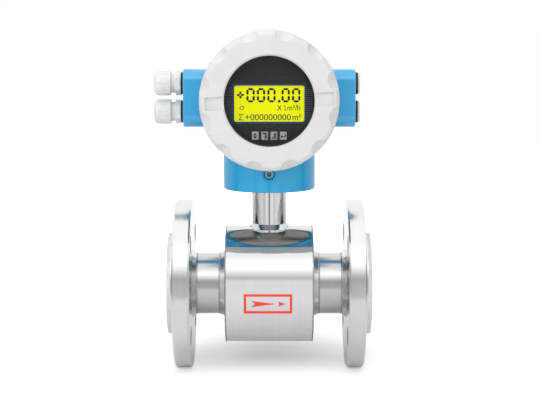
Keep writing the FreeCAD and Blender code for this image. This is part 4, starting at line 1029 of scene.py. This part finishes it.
def readout_pieces(sizes):
    """The flow value, its unit and the total on the lit panel."""
    front = span("lcd_panel", 1)[0]
    left = span("lcd_panel", 0)[0] + sizes.margin
    base = middle("lcd_panel", 2)
    film, pen = sizes.film, sizes.pen
    unit_foot, total_foot = base - sizes.unit_drop, base - sizes.total_drop
    ink, olive = tuple(sizes.ink), tuple(sizes.small_ink)
    FINISH["segments"] = printed("Readout segments", ink, darker(ink, 0.7))
    FINISH["small_letters"] = printed("Readout small letters", olive, (0.05, 0.045, 0.004))

    value = [plate(outline, front, front - film) for outline in value_outlines(left, base, sizes)]
    piece("readout_value", joined("readout_value", value), "lcd_yellow", finish="segments")

    lines = [*one_lines(left + sizes.one_place, unit_foot, pen),
             *sum_lines(left + sizes.sum_place, total_foot, pen), *loop_lines(left, base)]
    point = 0.05 * MM
    small = [plate(stroke(line, pen, point), front, front - film * (1.0 + 0.1 * k))
             for k, line in enumerate(lines)]
    # Text, its foot, and in millimetres its place along the row, height and width; then its weight.
    for text, foot, across, tall, wide, bold in (
            ("X", unit_foot, 39.9, 4.7, 4.6, 0.015),
            (CUBIC_METRES + "/h", unit_foot, 49.6, 5.2, 11.9, 0.01),
            ("+" + "0" * sizes.total_digits, total_foot, 10.2, 5.6, 42.6, 0.008),
            (CUBIC_METRES, total_foot, 54.3, 5.9, 7.6, 0.01)):
        small.append(text_mesh("letters", text, left + across * MM, foot, tall * MM, front - film,
                               wide * MM, bold))
    piece("readout_small", joined("readout_small", small), "lcd_yellow", finish="small_letters")


# ---------------------------------------------------------------- keys

def key_outlines(x, z):
    """Outlines of the four keys' symbols about a cap's middle, in units of 0.9 mm."""
    unit = 0.9 * MM
    blunt = 0.1

    def bar(x0, z0, x1, z1, width):
        ends = ((x + x0 * unit, z + z0 * unit), (x + x1 * unit, z + z1 * unit))
        return stroke(ends, width * unit, blunt * unit)

    def head(*corners):
        return [(x + across * unit, z + up * unit) for across, up in corners]

    return {
        "menu_key": [head((-2.0, 0.4), (2.0, 0.4), (0.0, 3.0)),
                     head((-2.0, -0.4), (2.0, -0.4), (0.0, -3.0))],
        "down_key": [bar(-2.2, 2.6, 1.9, 2.6, 1.5), bar(1.2, 3.2, 1.2, -1.2, 1.5),
                     head((2.9, -0.6), (1.2, -3.6), (-0.5, -0.6))],
        "up_key": [bar(1.2, 1.2, 1.2, -3.2, 1.5), head((2.9, 0.6), (-0.5, 0.6), (1.2, 3.6)),
                   bar(-2.4, -2.8, 0.4, -1.0, 1.4)],
        "enter_key": [bar(2.2, 1.9, 2.2, -1.0, 0.9), bar(2.6, -0.7, -1.4, -0.7, 0.9),
                      head((-2.9, -0.7), (-1.0, 1.1), (-1.0, -2.5))],
    }


def key_pieces():
    """The symbols on the key caps. Each part of a symbol is a shade thicker than the last."""
    film, more = 0.08 * MM, 0.01 * MM
    for key in ("menu_key", "down_key", "up_key", "enter_key"):
        front = span(key, 1)[0]
        outlines = key_outlines(middle(key, 0), middle(key, 2))[key]
        signs = [plate(outline, front, front - film - more * k)
                 for k, outline in enumerate(outlines)]
        piece(f"{key}_symbol", joined(f"{key}_symbol", signs), "black_plastic", key)


# ---------------------------------------------------------------- studio

# Brightness of the studio's soft bands along the pipe, by degrees up from the front.
BANDS = ((-180, 1.0), (-120, 1.0), (-74, 1.2), (-30, 0.95), (-12, 0.85), (-3, 0.5), (5, 0.2),
         (13, 0.2), (19, 0.6), (27, 1.0), (36, 1.4), (44, 1.9), (52, 1.5), (64, 1.2), (100, 1.2),
         (125, 1.1), (155, 1.1), (180, 1.0))
# Brightness of the studio's walls near eye level, by degrees round from the front to the right.
WALLS = ((-180, 1.1), (-129, 0.9), (-108, 0.85), (-98, 0.5), (-92, 0.2), (-86, 0.5), (-74, 0.7),
         (-50, 1.0), (-34, 0.7), (-20, 1.1), (-8, 1.1), (0, 0.08), (8, 1.1), (22, 1.15), (29, 0.8),
         (43, 1.0), (67, 1.0), (84, 0.7), (94, 0.2), (102, 0.5), (112, 0.8), (132, 1.0),
         (180, 1.1))
# Width, depth, place and aim of each lamp, in metres.
KEY_LAMP = (1.4, 0.7, (-0.15, -1.15, 1.25), (0.0, 0.0, 0.05))
TOP_LAMP = (0.9, 0.6, (-0.1, -0.05, 1.55), (0.0, 0.0, 0.0))
FILL_LAMP = (0.8, 1.0, (-1.4, -0.8, 0.5), (0.0, 0.0, 0.1))


def stage_object(name, mesh, material):
    """A piece of the stage, which isn't part of the meter."""
    made = bpy.data.objects.new(name, mesh)
    bpy.context.scene.collection.objects.link(made)
    made.data.materials.append(material)


def floor(sizes):
    """A white floor that reads as background and keeps the soft shadow, deepened by a painted
    shadow.
    """
    reach = sizes.floor_width / 2
    height = CAD_BOX[0][2]
    corners = [(-reach, -reach, height), (reach, -reach, height), (reach, reach, height),
               (-reach, reach, height)]
    made = Finish("White floor", (0.93, 0.93, 0.93), 0.9)
    made.set("Specular IOR Level", 0.0)
    rays = made.add("LightPath").node.outputs
    painted_shadow_middle = (0.0, 0.07, height)
    offset = made.add("VectorMath", {0: made.place(), 1: painted_shadow_middle}, operation="SUBTRACT")
    away = made.add("VectorMath", {0: offset}, out=1, operation="LENGTH")
    # To the camera the floor glows up to white with distance; right under the meter the glow dips
    # as a painted shadow.
    fade = made.between(away, 0.10, 0.7, 0.37, 1.0)
    # Painted shadow: the glow falls to a quarter close under the meter.
    painted_shadow = made.between(away, 0.02, 0.10, 0.25, 1.0)
    lift = made.math("MULTIPLY", rays["Is Camera Ray"], made.math("MULTIPLY", fade, painted_shadow))
    glow = made.add("Emission", {"Color": (1.0, 1.0, 1.0, 1.0), "Strength": lift})
    bright = made.add("AddShader", {0: made.surface.outputs[0], 1: glow})
    # Mirrored in the steel, only the floor near the meter shows.
    gone = made.math("MULTIPLY", rays["Is Glossy Ray"], made.between(away, 0.35, 0.6))
    shown = made.add("MixShader", {0: gone, 1: bright, 2: made.add("BsdfTransparent")})
    made.put(made.tree.nodes["Material Output"].inputs["Surface"], shown)
    mesh = mesh_of("Floor", corners, [(0, 1, 2, 3)], smooth=False)
    stage_object("Floor", mesh, made.material)


def lamp(name, watts, shape):
    """A rectangular lamp that lights the meter without showing in its steel."""
    width, depth, place, aim = shape
    data = bpy.data.lights.new(name, "AREA")
    data.energy = watts
    data.shape = "RECTANGLE"
    data.size = width
    data.size_y = depth
    made = bpy.data.objects.new(name, data)
    made.location = place
    made.rotation_euler = (Vector(aim) - Vector(place)).to_track_quat("-Z", "Y").to_euler()
    made.visible_glossy = False
    bpy.context.scene.collection.objects.link(made)


def around_ramp(kit, across, ahead, levels):
    """Brightness by the angle that two parts of a direction make, 0 being the front."""
    angle = kit.math("ARCTAN2", across, ahead)
    turn = kit.math("DIVIDE", kit.math("ADD", angle, math.pi), 2 * math.pi)
    return kit.ramp(turn, [((degrees + 180.0) / 360.0, level) for degrees, level in levels])


def surroundings():
    """White behind the object, and soft bands of a studio in what it reflects."""
    world = bpy.data.worlds.new("Studio")
    bpy.context.scene.world = world
    world.use_nodes = True
    kit = Nodes(world.node_tree)
    x, y, z = kit.parts(kit.add("TexCoord", out=0))
    to_front = kit.math("MULTIPLY", y, -1.0)
    bands = around_ramp(kit, z, to_front, BANDS)
    walls = around_ramp(kit, x, to_front, WALLS)
    flatness = kit.between(kit.math("ABSOLUTE", z), 0.12, 0.35, 1.0, 0.0)
    mirrored = kit.mix(flatness, bands, walls)
    path = kit.add("LightPath").node.outputs
    # What lights matt faces: more from the front than from behind.
    scattered = kit.between(to_front, 0.4, 0.95, 0.41, 1.65)
    soft = kit.mix(path["Is Diffuse Ray"], mirrored, scattered)
    shown = kit.mix(path["Is Camera Ray"], soft, (1.0, 1.0, 1.0))
    kit.put(kit.tree.nodes["Background"].inputs["Color"], shown)


def camera(sizes):
    """A level camera tilted down at the meter."""
    data = bpy.data.cameras.new("Camera")
    data.lens = sizes.focal
    data.sensor_width = 36.0
    data.clip_start = 0.01
    made = bpy.data.objects.new("Camera", data)
    made.location = sizes.camera_place
    made.rotation_euler = (math.pi / 2 - sizes.tilt, 0.0, 0.0)
    bpy.context.scene.collection.objects.link(made)
    bpy.context.scene.camera = made


# ---------------------------------------------------------------- operators, panel and registration

class FLOW_OT_finishes(bpy.types.Operator):
    """Give every CAD piece its detailed finish"""
    bl_idname = "flow.finishes"
    bl_label = "Finishes"

    def execute(self, context):
        tints = context.scene.flow_paint
        FINISH.update({**paints(tints), **metals(tints), **plastics(tints)})
        dress_cad()
        return {"FINISHED"}


class FLOW_OT_welds(bpy.types.Operator):
    """Lay the weld beads on the sensor"""
    bl_idname = "flow.welds"
    bl_label = "Weld beads"

    def execute(self, context):
        weld_pieces(context.scene.flow_seams)
        return {"FINISHED"}


class FLOW_OT_threads(bpy.types.Operator):
    """Cut the threads of covers, glands and plugs"""
    bl_idname = "flow.threads"
    bl_label = "Threads"

    def execute(self, context):
        cover_threads(context.scene.flow_seams)
        entry_threads(context.scene.flow_seams)
        return {"FINISHED"}


class FLOW_OT_trim(bpy.types.Operator):
    """Add the painted screw head, the boss rim, the window's border with painted shade and the
    painted rib highlights
    """
    bl_idname = "flow.trim"
    bl_label = "Trim"

    def execute(self, context):
        sizes = context.scene.flow_trim
        earth_screw_trim(sizes)
        window_border_and_shade(sizes)
        mask_rib_highlights(sizes)
        return {"FINISHED"}


class FLOW_OT_board(bpy.types.Operator):
    """Fit the small parts of the main board and number the terminals"""
    bl_idname = "flow.board"
    bl_label = "Board parts"

    def execute(self, context):
        board_pieces(context.scene.flow_board)
        terminal_numbers(context.scene.flow_board)
        return {"FINISHED"}


class FLOW_OT_readout(bpy.types.Operator):
    """Show the flow and the total on the display"""
    bl_idname = "flow.readout"
    bl_label = "Readout"

    def execute(self, context):
        readout_pieces(context.scene.flow_readout)
        return {"FINISHED"}


class FLOW_OT_keys(bpy.types.Operator):
    """Print the symbols on the keys"""
    bl_idname = "flow.keys"
    bl_label = "Key symbols"

    def execute(self, context):
        key_pieces()
        return {"FINISHED"}


class FLOW_OT_studio(bpy.types.Operator):
    """Set up the floor, the lamps, the surroundings and the camera"""
    bl_idname = "flow.studio"
    bl_label = "Studio"

    def execute(self, context):
        sizes = context.scene.flow_studio
        context.scene.view_settings.view_transform = "Standard"
        floor(sizes)
        surroundings()
        lamp("Key lamp", sizes.key_power, KEY_LAMP)
        lamp("Top lamp", sizes.top_power, TOP_LAMP)
        lamp("Fill lamp", sizes.fill_power, FILL_LAMP)
        camera(sizes)
        return {"FINISHED"}


STEPS = (FLOW_OT_finishes, FLOW_OT_welds, FLOW_OT_threads, FLOW_OT_trim, FLOW_OT_board,
         FLOW_OT_readout, FLOW_OT_keys, FLOW_OT_studio)


class FLOW_PT_panel(bpy.types.Panel):
    """Steps that dress the flow meter"""
    bl_idname = "FLOW_PT_panel"
    bl_label = "Flow meter"
    bl_space_type = "VIEW_3D"
    bl_region_type = "UI"
    bl_category = "Flow meter"

    def draw(self, context):
        for step in STEPS:
            self.layout.operator(step.bl_idname)
        for group, sizes in GROUPS.items():
            column = self.layout.column()
            for key in sizes.__annotations__:
                column.prop(getattr(context.scene, group), key)


CLASSES = (*GROUPS.values(), *STEPS, FLOW_PT_panel)


def register():
    for cls in CLASSES:
        bpy.utils.register_class(cls)
    for group, sizes in GROUPS.items():
        setattr(bpy.types.Scene, group, PointerProperty(type=sizes))


def unregister():
    for group in GROUPS:
        delattr(bpy.types.Scene, group)
    for cls in reversed(CLASSES):
        bpy.utils.unregister_class(cls)


def main():
    register()
    for step in STEPS:
        category, name = step.bl_idname.split(".")
        getattr(getattr(bpy.ops, category), name)()


if __name__ == "__main__":
    main()
